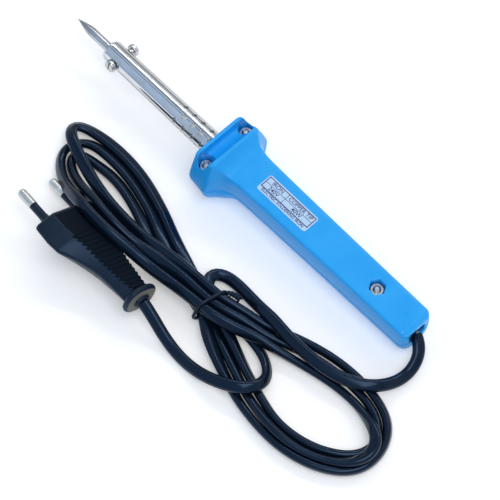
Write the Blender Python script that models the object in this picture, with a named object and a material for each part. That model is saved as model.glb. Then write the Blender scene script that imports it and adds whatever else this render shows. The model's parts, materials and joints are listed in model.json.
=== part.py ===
"""Mains soldering iron: a two-shell plastic handle with a flared guard, a vented steel barrel that holds
a mica-wrapped heater and a pencil bit, and a flat two-core flex in a tied hank with a two-pin plug.

Sizes are in millimetres and become metres when a mesh is made. World: +X towards the bit, +Z up, the
table at z = 0, the origin under the middle of the guard. The iron's own pieces are modelled about the
barrel's axis and hang from one empty, iron_axis, which carries the iron's lean on the table.
"""
import math

import bmesh
import bpy
from mathutils import Matrix, Vector

MM = 0.001
GAP = 0.3                      # clearance between neighbouring solids

# How the iron lies: its axis is this high above the table under the guard, and rises towards the bit.
AXIS_HEIGHT = 13.0
LEAN = math.radians(1.8)

# Handle, along the iron's axis from the guard bolts.
FRONT_X = 5.2                  # guard's front face
RIDGE_X = -5.2                 # guard's rear ridge
REAR_X = -113.3                # handle's rear face
TOP_Z = 9.8                    # flat top of the handle above the axis
TOP_FILLET = 1.3
END_ROUND = 3.0                # rounding of the rear end

# Fasteners that close the handle: M3 with hexagon nuts.
BOLT_R = 1.5
BOLT_HOLE_R = BOLT_R + GAP
BOLT_HEAD_R = 2.75
BOLT_HEAD_H = 2.2
NUT_AF = 5.5
NUT_H = 2.4
GUARD_BOLT_Y = 11.4
GUARD_NUT_TOP = 6.9
GUARD_HEAD_SEAT = -7.6
REAR_BOLT_X = -89.6
REAR_NUT_TOP = 7.5
REAR_HEAD_SEAT = -6.9
POCKET_AF = 6.4
POCKET_R = 3.5

# Barrel and what is inside it.
BARREL_NOSE_X = 72.3
BARREL_REAR_X = -22.0
BARREL_R = 5.25                # at the handle
BARREL_NOSE_R = 4.77
BARREL_WALL = 0.4
VENT_R = 1.15
VENT_PITCH = 5.33
VENT_FIRST_X = 10.9
VENTS_IN_ROW = 4
VENT_ROW_ANGLE = 26.0          # first row, degrees from +Y towards +Z
BORE_R = 2.4                   # bore that the bit slides in
FLANGE_X = -15.8
COLLAR_X = 65.2                # middle of the nose collar, where the clamp screws are
COLLAR_LENGTH = 7.4
SCREW_ROLL = math.radians(9.0)
HEATER_FRONT_X = 58.0
HEATER_REAR_X = 9.0

# Bit.
BIT_R = 2.05
BIT_TIP_X = 92.3
BIT_CONE_X = 83.6
BIT_REAR_X = 22.0

# Flat two-core flex.
CORD_R = 2.2
CORD_EXIT_Z = 0.2              # above the iron's axis
CORE_R = 1.1
STRIP_X = -98.0                # where the sheath ends inside the handle
CLAMP_X = -104.0

# Plug: a flat two-pin plug lying on its edge.
PLUG_FACE = Vector((27.3, 67.5, 10.6))
PLUG_YAW = math.radians(-3.7)
PLUG_ROLL = math.radians(30.0)
PLUG_HALF_WIDTH = 18.0
PLUG_HALF_FLAT = 10.0
PLUG_HALF_THICK = 6.4
PIN_SPACING = 18.0
PIN_R = 2.0
PIN_LENGTH = 19.0
SLEEVE_LENGTH = 10.0

HANK_HEIGHT = 9.0
TIE_X = -41.0
TIE_WIRE_R = 0.6


# ---------------------------------------------------------------- materials

def material(name, color, roughness, metallic=0.0):
    mat = bpy.data.materials.new(name)
    mat.use_nodes = True
    shader = mat.node_tree.nodes["Principled BSDF"]
    shader.inputs["Base Color"].default_value = (*color, 1.0)
    shader.inputs["Roughness"].default_value = roughness
    shader.inputs["Metallic"].default_value = metallic
    return mat


def make_materials():
    return {
        "blue_shell": material("blue_shell", (0.03, 0.37, 0.83), 0.32),
        "polished_steel": material("polished_steel", (0.55, 0.58, 0.62), 0.22, 1.0),
        "plated_steel": material("plated_steel", (0.62, 0.63, 0.62), 0.3, 1.0),
        "bit_plate": material("bit_plate", (0.5, 0.53, 0.57), 0.3, 1.0),
        "mica": material("mica", (0.55, 0.5, 0.4), 0.5),
        "nichrome": material("nichrome", (0.32, 0.3, 0.28), 0.45, 1.0),
        "ceramic": material("ceramic", (0.8, 0.78, 0.72), 0.6),
        "glass_sleeve": material("glass_sleeve", (0.75, 0.73, 0.66), 0.8),
        "clear_cap": material("clear_cap", (0.6, 0.62, 0.6), 0.35),
        "core_plastic": material("core_plastic", (0.1, 0.16, 0.4), 0.45),
        "label_film": material("label_film", (0.5, 0.65, 0.85), 0.45),
        "cord_pvc": material("cord_pvc", (0.006, 0.012, 0.022), 0.28),
        "plug_pvc": material("plug_pvc", (0.008, 0.014, 0.024), 0.4),
    }


# ---------------------------------------------------------------- mesh helpers

def add_object(name, data, mat=None, parent=None, matrix=None):
    obj = bpy.data.objects.new(name, data)
    bpy.context.scene.collection.objects.link(obj)
    if mat:
        data.materials.append(mat)
    obj.parent = parent
    if matrix is not None:
        obj.matrix_local = matrix
    return obj


def mesh_object(name, verts, faces, mat=None, parent=None, matrix=None):
    """One closed body from points in millimetres; its faces are turned outwards."""
    bm = bmesh.new()
    points = [bm.verts.new(Vector(v) * MM) for v in verts]
    for face in faces:
        bm.faces.new([points[i] for i in face])
    bmesh.ops.recalc_face_normals(bm, faces=bm.faces)
    mesh = bpy.data.meshes.new(name)
    bm.to_mesh(mesh)
    bm.free()
    mesh.shade_smooth()
    mesh.set_sharp_from_angle(angle=math.radians(35))
    return add_object(name, mesh, mat, parent, matrix)


def loft(name, rings, mat=None, parent=None, matrix=None):
    """A solid through closed rings with equal point counts, capped at both ends."""
    count = len(rings[0])
    verts = [p for ring in rings for p in ring]
    faces = [list(range(count)), list(range(len(verts) - count, len(verts)))]
    for i in range(len(rings) - 1):
        for j in range(count):
            a = i * count + j
            b = i * count + (j + 1) % count
            faces.append([a, b, b + count, a + count])
    return mesh_object(name, verts, faces, mat, parent, matrix)


def turned(name, profile, mat=None, parent=None, matrix=None, sides=32, axis="X"):
    """A turned piece. The profile holds (place along the axis, radius) points. It is closed for a ring
    or tube; a profile that starts and ends at radius 0 makes a solid of revolution."""
    solid = profile[0][1] == 0 and profile[-1][1] == 0
    verts, rows = [], []
    for along, radius in profile:
        row = []
        for k in range(1 if radius == 0 else sides):
            angle = math.tau * k / sides
            y, z = radius * math.cos(angle), radius * math.sin(angle)
            row.append(len(verts))
            verts.append((along, y, z) if axis == "X" else (y, z, along))
        rows.append(row)
    pairs = list(zip(rows, rows[1:])) + ([] if solid else [(rows[-1], rows[0])])
    faces = []
    for first, second in pairs:
        for k in range(sides):
            corners = [first[k % len(first)], first[(k + 1) % len(first)],
                       second[(k + 1) % len(second)], second[k % len(second)]]
            faces.append(list(dict.fromkeys(corners)))
    return mesh_object(name, verts, faces, mat, parent, matrix)


def prism(name, outline, low, high, mat=None, parent=None, matrix=None):
    """An outline in the XY plane carried from low to high along Z."""
    return loft(name, [[(x, y, z) for x, y in outline] for z in (low, high)], mat, parent, matrix)


def hexagon(across_flats):
    radius = across_flats / math.sqrt(3)
    return [(radius * math.cos(math.radians(60 * k)), radius * math.sin(math.radians(60 * k)))
            for k in range(6)]


def circle(radius, sides=24):
    return [(radius * math.cos(math.tau * k / sides), radius * math.sin(math.tau * k / sides))
            for k in range(sides)]


def rectangle(x_size, y_size, x_mid=0.0, y_mid=0.0):
    hx, hy = x_size / 2, y_size / 2
    return [(x_mid + sx * hx, y_mid + sy * hy) for sx, sy in ((-1, -1), (1, -1), (1, 1), (-1, 1))]


def moved(outline, x, y):
    return [(px + x, py + y) for px, py in outline]


def combine(target, tool, operation="DIFFERENCE"):
    """Cut a hidden tool out of a piece, or join it on."""
    tool.hide_render = True
    tool.display_type = "WIRE"
    modifier = target.modifiers.new(tool.name, "BOOLEAN")
    modifier.operation = operation
    modifier.solver = "EXACT"
    modifier.object = tool


def smooth_route(points, spacing):
    """Evenly spaced points on a Catmull-Rom curve through the route's own points."""
    pts = [Vector(p) for p in points]
    pts = [pts[0] * 2 - pts[1], *pts, pts[-1] * 2 - pts[-2]]
    fine = []
    for a, b, c, d in zip(pts, pts[1:], pts[2:], pts[3:]):
        for step in range(12):
            t = step / 12
            fine.append(0.5 * (2 * b + (c - a) * t + (2 * a - 5 * b + 4 * c - d) * t ** 2
                               + (3 * b - a - 3 * c + d) * t ** 3))
    fine.append(pts[-2])
    lengths = [0.0]
    for a, b in zip(fine, fine[1:]):
        lengths.append(lengths[-1] + (b - a).length)
    count = max(2, round(lengths[-1] / spacing))
    route, i = [], 0
    for k in range(count + 1):
        want = lengths[-1] * k / count
        while i < len(fine) - 2 and lengths[i + 1] < want:
            i += 1
        share = (want - lengths[i]) / (lengths[i + 1] - lengths[i])
        route.append(fine[i].lerp(fine[i + 1], min(1.0, share)))
    return route


def tube(name, route, radius, mat, parent=None, resolution=2):
    """A round wire or cord along a route, with filled ends."""
    curve = bpy.data.curves.new(name, "CURVE")
    curve.dimensions = "3D"
    curve.bevel_depth = radius * MM
    curve.bevel_resolution = resolution
    curve.use_fill_caps = True
    spline = curve.splines.new("POLY")
    spline.points.add(len(route) - 1)
    for point, place in zip(spline.points, route):
        point.co = (*(Vector(place) * MM), 1.0)
    return add_object(name, curve, mat, parent)


# ---------------------------------------------------------------- handle shells

# Outside of the handle: x, half width at the parting plane, half width at the top, height of the top and
# fillet of the top edge, then the depth of the underside, how square its section is (2 is an ellipse)
# and how far its sides belly out. The guard is the first stretch, down to the ridge; the grip follows
# it after a hollow ramp.
HANDLE_STATIONS = (
    (FRONT_X, 16.2, 12.8, 13.6, 2.4, 12.0, 2.3, 0.0),
    (4.8, 16.8, 13.4, 14.1, 3.0, 12.9, 2.3, 0.0),
    (3.9, 17.1, 13.6, 14.3, 3.0, 13.3, 2.3, 0.0),
    (0.0, 17.6, 13.8, 14.7, 2.6, 13.5, 2.3, 0.0),
    (-4.2, 17.9, 13.9, 15.1, 2.0, 13.4, 2.3, 0.0),
    (RIDGE_X, 18.0, 13.8, 15.2, 1.9, 13.2, 2.3, 0.0),
    (-6.0, 17.9, 13.2, 14.3, 1.9, 12.8, 2.3, 0.1),
    (-6.9, 17.2, 12.6, 13.2, 1.9, 12.3, 2.3, 0.5),
    (-7.6, 15.9, 12.1, 12.5, 1.8, 11.9, 2.3, 1.2),
    (-8.6, 14.1, 11.3, 11.6, 1.7, 11.4, 2.2, 1.9),
    (-10.0, 12.6, 10.6, 10.8, 1.6, 10.9, 2.2, 2.2),
    (-11.5, 11.7, 10.2, 10.2, 1.5, 10.4, 2.1, 2.0),
    (-13.4, 11.0, 9.9, 9.9, 1.4, 10.1, 2.1, 0.9),
    (-16.0, 10.2, 9.6, TOP_Z, TOP_FILLET, 9.8, 2.1, 0.1),
    (-20.0, 9.8, 9.4, TOP_Z, TOP_FILLET, 9.7, 2.1, 0.0),
    (-45.0, 9.3, 8.9, TOP_Z, TOP_FILLET, 9.65, 2.1, 0.0),
    (-80.0, 8.9, 8.5, TOP_Z, TOP_FILLET, 9.65, 2.1, 0.0),
    (REAR_X + END_ROUND, 8.6, 8.2, TOP_Z, TOP_FILLET, 9.65, 2.1, 0.0),
)
# Room inside the handle: x, half width, height above and below the axis.
CAVITY = ((2.6, 6.2, 6.2), (-7.0, 6.2, 6.2), (-11.0, 7.4, 7.6), (-14.0, 7.6, 7.8), (-45.0, 7.4, 7.9),
          (-80.0, 7.0, 7.9), (REAR_X + 3.4, 6.6, 7.6), (REAR_X + 1.9, 5.8, 6.9))


def rear_rounding(steps=4):
    """The last stations: how far behind the straight part, and how much each size shrinks."""
    for k in range(1, steps + 1):
        angle = math.radians(80) * k / steps
        yield END_ROUND * math.sin(angle) / math.sin(math.radians(80)), END_ROUND * (1 - math.cos(angle))


def handle_sections():
    sections = list(HANDLE_STATIONS)
    x, side, top, height, fillet, depth, power, belly = sections[-1]
    for behind, shrink in rear_rounding():
        sections.append((x - behind, side - shrink, top - shrink, height - shrink, fillet, depth - shrink,
                         power, belly))
    return sections


def upper_ring(x, side, top, height, fillet, base=GAP / 2, segments=4):
    """Half section above the parting plane, from one side over the top to the other."""
    half = [(x, side, base)]
    for k in range(segments + 1):
        angle = math.radians(90) * k / segments
        half.append((x, top - fillet + fillet * math.cos(angle), height - fillet + fillet * math.sin(angle)))
    return half + [(px, -y, z) for px, y, z in reversed(half)]


def lower_ring(x, side, depth, power, belly, base=-GAP / 2, segments=9):
    """Half section below the parting plane, a rounded U."""
    ring = []
    for k in range(2 * segments + 1):
        angle = math.radians(90) * k / segments
        swell = belly * max(0.0, math.sin(2 * min(angle, math.pi - angle))) ** 0.7
        y = math.copysign(abs(math.cos(angle)) ** (2 / power) * side + swell, math.cos(angle))
        ring.append((x, y, base - (depth + base) * math.sin(angle) ** (2 / power)))
    return ring


def room_ring(x, side, height, sign, base):
    """Section of the room inside a shell, rounder below (sign -1) than above."""
    fillet = 2.6 if sign > 0 else 5.5
    ring = upper_ring(x, side, side, height, fillet, base, segments=3)
    return [(px, y, sign * z) for px, y, z in ring]


def cavity_tool(name, parent, sign):
    """The room inside one shell, a little past the parting plane."""
    return loft(name, [room_ring(x, side, height, sign, -1.0) for x, side, height in CAVITY], parent=parent)


def trough_tool(parent):
    """The groove across the top of the guard: steep in front, rising in a curve to the ridge, and
    shallow with rounded ends over the nut pockets."""
    rings = []
    for y, share in ((-13.6, 0.0), (-13.0, 0.5), (-11.8, 0.82), (-9.8, 1.0),
                     (9.8, 1.0), (11.8, 0.82), (13.0, 0.5), (13.6, 0.0)):
        floor = 14.2 - 3.8 * share
        front = 3.3 - 0.6 * (1 - share)
        curve = ((front, 1.0), (front - 0.2, 0.35), (front - 0.9, 0.06), (front - 2.2, 0.0),
                 (front - 3.8, 0.12), (front - 5.2, 0.38), (front - 6.5, 0.8), (-4.6, 1.2))
        ring = [(x, floor + 4.6 * rise) for x, rise in curve]
        rings.append([(x, y, z) for x, z in [(front, 22.0), *ring, (-4.6, 22.0)]])
    return loft("trough_tool", rings, parent=parent)


def post(name, x, y, radius, low, high, parent, sides=20):
    """A round post or hole tool, upright in the handle."""
    return prism(name, moved(circle(radius, sides), x, y), low, high, parent=parent)


def barrel_seat_tools(shell, parent, sign):
    """The ribs that hold the barrel's flange, joined to a shell."""
    for label, middle in (("front", FLANGE_X + 2.2), ("rear", FLANGE_X - 2.2)):
        rings = [room_ring(x, 8.1, 8.3, sign, GAP / 2) for x in (middle - 0.8, middle + 0.8)]
        combine(shell, loft(f"{shell.name}_{label}_rib_tool", rings, parent=parent), "UNION")


def barrel_clearance(shell, parent):
    """The round way for the barrel through the guard and both ribs."""
    reach = ((FRONT_X + 1, 0), (FRONT_X + 1, BARREL_R + GAP), (FLANGE_X - 4, BARREL_R + GAP),
             (FLANGE_X - 4, 0))
    combine(shell, turned(f"{shell.name}_barrel_tool", reach, parent=parent, sides=40))


def make_upper_shell(mats, iron):
    rings = [upper_ring(*section[:5]) for section in handle_sections()]
    shell = loft("upper_shell", rings, mats["blue_shell"], iron)
    combine(shell, cavity_tool("upper_cavity_tool", iron, 1))
    barrel_seat_tools(shell, iron, 1)
    combine(shell, post("upper_rear_boss_tool", REAR_BOLT_X, 0, 3.0, GAP / 2, 8.6, iron), "UNION")
    pocket_wall = prism("upper_pocket_wall_tool", moved(hexagon(POCKET_AF + 2.6), REAR_BOLT_X, 0), 3.6, 8.6,
                        parent=iron)
    combine(shell, pocket_wall, "UNION")
    barrel_clearance(shell, iron)
    combine(shell, trough_tool(iron))
    for side in (1, -1):
        y = side * GUARD_BOLT_Y
        seat = GUARD_NUT_TOP - NUT_H - GAP
        combine(shell, post(f"pocket_tool_{side}", 0, y, POCKET_R, GUARD_NUT_TOP + GAP, 18, iron))
        hex_tool = prism(f"hex_tool_{side}", moved(hexagon(POCKET_AF), 0, y), seat, GUARD_NUT_TOP + 1,
                         parent=iron)
        combine(shell, hex_tool)
        combine(shell, post(f"upper_bolt_tool_{side}", 0, y, BOLT_HOLE_R, -2, seat + 1, iron))
    seat = REAR_NUT_TOP - NUT_H - GAP
    rear_hex = prism("rear_hex_tool", moved(hexagon(POCKET_AF), REAR_BOLT_X, 0), seat, 12, parent=iron)
    combine(shell, rear_hex)
    combine(shell, post("upper_rear_bolt_tool", REAR_BOLT_X, 0, BOLT_HOLE_R, -2, seat + 1, iron))
    slot = [(y, z) for y, z in ((-4.5, -1), (-4.5, 4.2), (-3.4, 5.4), (3.4, 5.4), (4.5, 4.2), (4.5, -1))]
    rings = [[(x, y, z) for y, z in slot] for x in (REAR_X - 1, REAR_X + 3)]
    combine(shell, loft("upper_slot_tool", rings, parent=iron))
    recess = prism("label_recess_tool", rectangle(29.1, 9.1, -36.9, 0), TOP_Z - 0.25, 12, parent=iron)
    combine(shell, recess)
    return shell


def make_lower_shell(mats, iron):
    rings = [lower_ring(x, side, depth, power, belly)
             for x, side, _, _, _, depth, power, belly in handle_sections()]
    shell = loft("lower_shell", rings, mats["blue_shell"], iron)
    combine(shell, cavity_tool("lower_cavity_tool", iron, -1))
    barrel_seat_tools(shell, iron, -1)
    combine(shell, post("lower_rear_boss_tool", REAR_BOLT_X, 0, 3.0, -8.1, -GAP / 2, iron), "UNION")
    combine(shell, post("lower_head_wall_tool", REAR_BOLT_X, 0, 4.2, -8.1, REAR_HEAD_SEAT + 1.8, iron), "UNION")
    for side in (1, -1):
        boss = post(f"clamp_boss_tool_{side}", CLAMP_X, side * 4.7, 1.5, -6.7, 1.9, iron, 16)
        combine(shell, boss, "UNION")
    barrel_clearance(shell, iron)
    for side in (1, -1):
        y = side * GUARD_BOLT_Y
        combine(shell, post(f"head_tool_{side}", 0, y, BOLT_HEAD_R + GAP, -16, GUARD_HEAD_SEAT + GAP, iron))
        combine(shell, post(f"lower_bolt_tool_{side}", 0, y, BOLT_HOLE_R, GUARD_HEAD_SEAT - 1, 2, iron))
        combine(shell, post(f"clamp_screw_tool_{side}", CLAMP_X, side * 4.7, 0.95, -5.6, 4, iron, 12))
    combine(shell, post("rear_head_tool", REAR_BOLT_X, 0, BOLT_HEAD_R + GAP, -16, REAR_HEAD_SEAT + GAP, iron))
    combine(shell, post("lower_rear_bolt_tool", REAR_BOLT_X, 0, BOLT_HOLE_R, REAR_HEAD_SEAT - 1, 2, iron))
    slot = ((-4.5, 1), (-4.5, -1.4), (-3.4, -2.5), (3.4, -2.5), (4.5, -1.4), (4.5, 1))
    rings = [[(x, y, z) for y, z in slot] for x in (REAR_X - 1, REAR_X + 3)]
    combine(shell, loft("lower_slot_tool", rings, parent=iron))
    # The table is level in the world, so what stands on it is trimmed by an upright block there.
    table = prism("table_tool", rectangle(200, 80, -50, 0), -20, 0)
    combine(shell, table)
    return shell


# ---------------------------------------------------------------- fasteners

def make_bolt(name, x, y, seat, tip, mats, iron):
    """A pan-head bolt that enters from below: its head is under seat, its end at tip."""
    low = seat - BOLT_HEAD_H
    profile = ((low, 0), (low, 1.7), (low + 0.3, 2.35), (low + 0.9, BOLT_HEAD_R), (seat, BOLT_HEAD_R),
               (seat, BOLT_R), (tip - 0.4, BOLT_R), (tip, BOLT_R - 0.4), (tip, 0))
    bolt = turned(name, profile, mats["plated_steel"], iron, Matrix.Translation(Vector((x, y, 0)) * MM),
                  sides=20, axis="Z")
    slot = prism(f"{name}_slot_tool", rectangle(7, 0.8), low - 1, low + 0.9, parent=iron,
                 matrix=Matrix.Translation(Vector((x, y, 0)) * MM))
    combine(bolt, slot)


def make_nut(name, x, y, top, mats, iron):
    """A hexagon nut with its corners chamfered on top."""
    outline = hexagon(NUT_AF)
    rings = [[(px, py, z) for px, py in outline] for z in (top - NUT_H, top)]
    nut = loft(name, rings, mats["plated_steel"], iron, Matrix.Translation(Vector((x, y, 0)) * MM))
    combine(nut, post(f"{name}_hole_tool", x, y, BOLT_R + GAP, top - NUT_H - 1, top + 1, iron))


def make_handle_fasteners(mats, iron):
    for name, x, y, seat, top in (
            ("guard_{}_left", 0, GUARD_BOLT_Y, GUARD_HEAD_SEAT, GUARD_NUT_TOP),
            ("guard_{}_right", 0, -GUARD_BOLT_Y, GUARD_HEAD_SEAT, GUARD_NUT_TOP),
            ("rear_{}", REAR_BOLT_X, 0, REAR_HEAD_SEAT, REAR_NUT_TOP)):
        make_bolt(name.format("bolt"), x, y, seat, top + 0.6, mats, iron)
        make_nut(name.format("nut"), x, y, top, mats, iron)


# ---------------------------------------------------------------- barrel, heater and bit

def barrel_radius(x):
    """The barrel narrows a little towards its nose."""
    share = min(1.0, max(0.0, (x - FRONT_X) / (BARREL_NOSE_X - FRONT_X)))
    return BARREL_R + (BARREL_NOSE_R - BARREL_R) * share


def make_barrel(mats, iron):
    nose = BARREL_NOSE_X
    r_nose = barrel_radius(nose)
    outside = [(nose, BORE_R), (nose, r_nose - 1.6), (nose - 0.35, r_nose - 0.75), (nose - 0.95, r_nose - 0.22),
               (nose - 1.8, r_nose), (FRONT_X, BARREL_R), (BARREL_REAR_X, BARREL_R)]
    inside = [(BARREL_REAR_X, BARREL_R - BARREL_WALL), (FRONT_X, BARREL_R - BARREL_WALL),
              (nose - 1.9, r_nose - BARREL_WALL), (nose - 0.7, r_nose - 1.5), (nose - 0.6, BORE_R)]
    barrel = turned("barrel", outside + inside, mats["polished_steel"], iron, sides=32)
    for row in range(4):
        angle = math.radians(VENT_ROW_ANGLE + 45 * row)
        shift = -VENT_PITCH / 2 if row % 2 else 0.0
        for k in range(VENTS_IN_ROW):
            place = Vector((VENT_FIRST_X + shift + k * VENT_PITCH, 0, 0)) * MM
            turn = Matrix.Rotation(angle - math.radians(90), 4, "X")
            vent = post(f"vent_tool_{row}_{k}", 0, 0, VENT_R, -8, 8, iron, 8)
            vent.matrix_local = Matrix.Translation(place) @ turn
            combine(barrel, vent)
    hole = post("barrel_screw_tool", 0, 0, BOLT_R + GAP, -8, 8, iron, 16)
    hole.matrix_local = screw_matrix(1)
    combine(barrel, hole)


def make_barrel_fittings(mats, iron):
    half = 0.75
    flange_r = 7.0
    ring = ((FLANGE_X - half, BARREL_R + GAP), (FLANGE_X - half, flange_r), (FLANGE_X + half, flange_r),
            (FLANGE_X + half, BARREL_R + GAP))
    turned("barrel_flange", ring, mats["plated_steel"], iron)
    half = COLLAR_LENGTH / 2
    outer = barrel_radius(COLLAR_X) - BARREL_WALL - GAP
    ring = ((COLLAR_X - half, BORE_R), (COLLAR_X - half, outer - 0.2), (COLLAR_X + half, outer - 0.2),
            (COLLAR_X + half, BORE_R))
    collar = turned("nose_collar", ring, mats["plated_steel"], iron)
    hole = post("collar_screw_tool", 0, 0, BOLT_R + GAP, -8, 8, iron, 16)
    hole.matrix_local = screw_matrix(1)
    combine(collar, hole)


def screw_matrix(side):
    """Place of a bit clamp screw: its own +Z points out of the barrel."""
    roll = SCREW_ROLL - math.radians(90) if side > 0 else SCREW_ROLL + math.radians(90)
    return Matrix.Translation(Vector((COLLAR_X, 0, 0)) * MM) @ Matrix.Rotation(roll, 4, "X")


def make_clamp_screws(mats, iron):
    """Two slotted screws press on the bit from opposite sides; the right one stands further out."""
    for name, side, head_low in (("clamp_screw_left", 1, 5.15), ("clamp_screw_right", -1, 6.35)):
        top = head_low + BOLT_HEAD_H
        profile = ((BIT_R + 0.35, 0), (BIT_R + 0.35, BOLT_R - 0.4), (BIT_R + 0.75, BOLT_R),
                   (head_low, BOLT_R), (head_low, BOLT_HEAD_R), (top - 0.7, BOLT_HEAD_R),
                   (top - 0.2, BOLT_HEAD_R - 0.4), (top, BOLT_HEAD_R - 1.0), (top, 0))
        screw = turned(name, profile, mats["plated_steel"], iron, screw_matrix(side), sides=24, axis="Z")
        slot = prism(f"{name}_slot_tool", rectangle(0.8, 7), top - 1.0, top + 1, parent=iron)
        slot.matrix_local = screw_matrix(side)
        combine(screw, slot)


def make_bit(mats, iron):
    """A round rod with a slightly convex point."""
    profile = [(BIT_REAR_X, 0), (BIT_REAR_X, BIT_R - 0.3), (BIT_REAR_X + 0.3, BIT_R)]
    steps = 5
    for k in range(steps):
        share = k / steps
        profile.append((BIT_CONE_X + (BIT_TIP_X - BIT_CONE_X) * share, BIT_R * (1 - share ** 1.3)))
    profile += [(BIT_TIP_X - 0.15, 0.25), (BIT_TIP_X, 0)]
    turned("bit", profile, mats["bit_plate"], iron, sides=24)


def sleeve(name, inner, outer, rear, front, mat, iron, sides=28):
    return turned(name, ((rear, inner), (rear, outer), (front, outer), (front, inner)), mat, iron,
                  sides=sides)


def make_heater(mats, iron):
    """Bit tube, mica, resistance wire and mica cover, one around the other, in the vented barrel."""
    sleeve("bit_tube", BORE_R, 2.7, -9.0, 60.8, mats["plated_steel"], iron)
    sleeve("mica_core", 3.0, 3.2, HEATER_REAR_X, HEATER_FRONT_X, mats["mica"], iron)
    sleeve("mica_cover", 4.0, 4.15, HEATER_REAR_X, HEATER_FRONT_X, mats["mica"], iron)
    coil_r, wire_r, pitch, steps = 3.62, 0.16, 3.2, 8
    start, end = HEATER_REAR_X + 1.5, HEATER_FRONT_X - 1.5
    count = round((end - start) / pitch * steps)
    route = [(start + pitch * k / steps, coil_r * math.cos(math.tau * k / steps),
              coil_r * math.sin(math.tau * k / steps)) for k in range(count + 1)]
    tube("heating_coil", route, wire_r, mats["nichrome"], iron, resolution=0)
    bush = sleeve("rear_bush", 3.0, 4.5, -19.5, -10.5, mats["ceramic"], iron)
    for side in (1, -1):
        notch = prism(f"bush_notch_tool_{side}", rectangle(12, 3.0, -15, side * 4.7), -0.9, 0.9, parent=iron)
        combine(bush, notch)


def make_wiring(mats, iron):
    """Heater leads in glass sleeving, joined to the flex's two cores in closed-end caps."""
    for letter, side in (("a", 1), ("b", -1)):
        lead = smooth_route(((7.5, side * 3.9, 0), (-2, side * 3.9, 0), (-20, side * 3.9, 0),
                             (-26, side * 3.4, 0), (-34, side * 3.3, 0), (-49.5, side * 3.4, 0)), 3.0)
        tube(f"heater_lead_{letter}", lead, 0.35, mats["nichrome"], iron, resolution=1)
        ring = circle(0.95, 12)
        hole = circle(0.65, 12)
        rings = []
        for x, y in ((-27.5, 3.38), (-34, 3.3), (-48.5, 3.4)):
            rings.append((x, side * y, ring, hole))
        make_sleeving(f"lead_sleeve_{letter}", rings, mats["glass_sleeve"], iron)
        cap = ((-62.0, 0), (-62.0, 1.5), (-61.5, 2.1), (-50.0, 2.1), (-50.0, 0))
        turned(f"splice_cap_{letter}", cap, mats["clear_cap"], iron,
               Matrix.Translation(Vector((0, side * 3.4, 0)) * MM), sides=20)
        core = smooth_route(((-62.4, side * 3.4, 0), (-70, side * 3.9, 0), (-80, side * 4.6, 0),
                             (-89.6, side * 5.0, 0), (-94, side * 3.2, 0.1), (STRIP_X + GAP, side * 1.35, 0.2)), 3.0)
        tube(f"cord_core_{letter}", core, CORE_R, mats["core_plastic"], iron, resolution=2)


def make_sleeving(name, rings, mat, iron):
    """A hollow sleeve along a gently bent lead."""
    verts, faces = [], []
    count = len(rings[0][2])
    for x, y, outer, inner in rings:
        verts += [(x, y + p, q) for p, q in outer] + [(x, y + p, q) for p, q in inner]
    step = 2 * count
    last = (len(rings) - 1) * step
    for k in range(count):
        n = (k + 1) % count
        for i in range(len(rings) - 1):
            a = i * step
            faces.append([a + k, a + n, a + step + n, a + step + k])
            faces.append([a + count + k, a + count + n, a + step + count + n, a + step + count + k])
        for a in (0, last):
            faces.append([a + k, a + n, a + count + n, a + count + k])
    mesh_object(name, verts, faces, mat, iron)


def make_cord_anchor(mats, iron):
    """The sheathed flex inside the handle, under a clamp bar with two screws."""
    tube("cord_inner", ((STRIP_X, 0, CORD_EXIT_Z), (-105, 0, CORD_EXIT_Z), (REAR_X + 0.6, 0, CORD_EXIT_Z)),
         CORD_R - 0.35, mats["cord_pvc"], iron, resolution=3)
    bar = prism("cord_clamp_bar", rectangle(4.4, 12.0, CLAMP_X, 0), 2.4, 3.6, mats["plated_steel"], iron)
    for letter, side in (("a", 1), ("b", -1)):
        y = side * 4.7
        combine(bar, post(f"bar_hole_tool_{letter}", CLAMP_X, y, 0.95, 1, 5, iron, 12))
        profile = ((-5.2, 0), (-4.6, 0.5), (3.9, 0.6), (3.9, 1.3), (4.6, 1.3), (5.0, 0.7), (5.0, 0))
        turned(f"clamp_bar_screw_{letter}", profile, mats["plated_steel"], iron,
               Matrix.Translation(Vector((CLAMP_X, y, 0)) * MM), sides=14, axis="Z")


def make_label(mats, iron):
    prism("rating_label", rectangle(28.5, 8.5, -36.9, 0), TOP_Z + 0.05, TOP_Z + 0.25, mats["label_film"], iron)


# ---------------------------------------------------------------- free cord and plug

# Where the flex leaves the handle, and how it comes down to the table and reaches the hank.
HANDLE_TAIL = ((-113.4, 0.0, 9.6), (-117.4, 1.2, 9.2), (-121.0, 4.6, 7.6), (-122.6, 10.4, 5.2),
               (-121.9, 15.6, 3.2), (-120.5, 20.2, 2.5), (-118.6, 24.0, 2.4))
# The flex from the plug's tail to the hank.
PLUG_TAIL = ((-26.2, 70.9, 10.5), (-31.0, 71.4, 9.4), (-38.0, 72.6, 5.6), (-46.0, 74.4, 2.9),
             (-54.0, 76.2, 2.4), (-61.0, 77.4, 2.4), (-66.0, 78.2, 2.4))
# One run of the hank that lies across the plug.
OVER_PLUG = ((54.0, 50.8, 5.2), (47.0, 53.4, 10.2), (38.0, 55.6, 15.2), (28.0, 57.2, 17.2), (14.0, 58.2, 17.0),
             (1.0, 58.0, 16.2), (-8.0, 57.8, 12.0), (-15.0, 58.0, 6.6))
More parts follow.
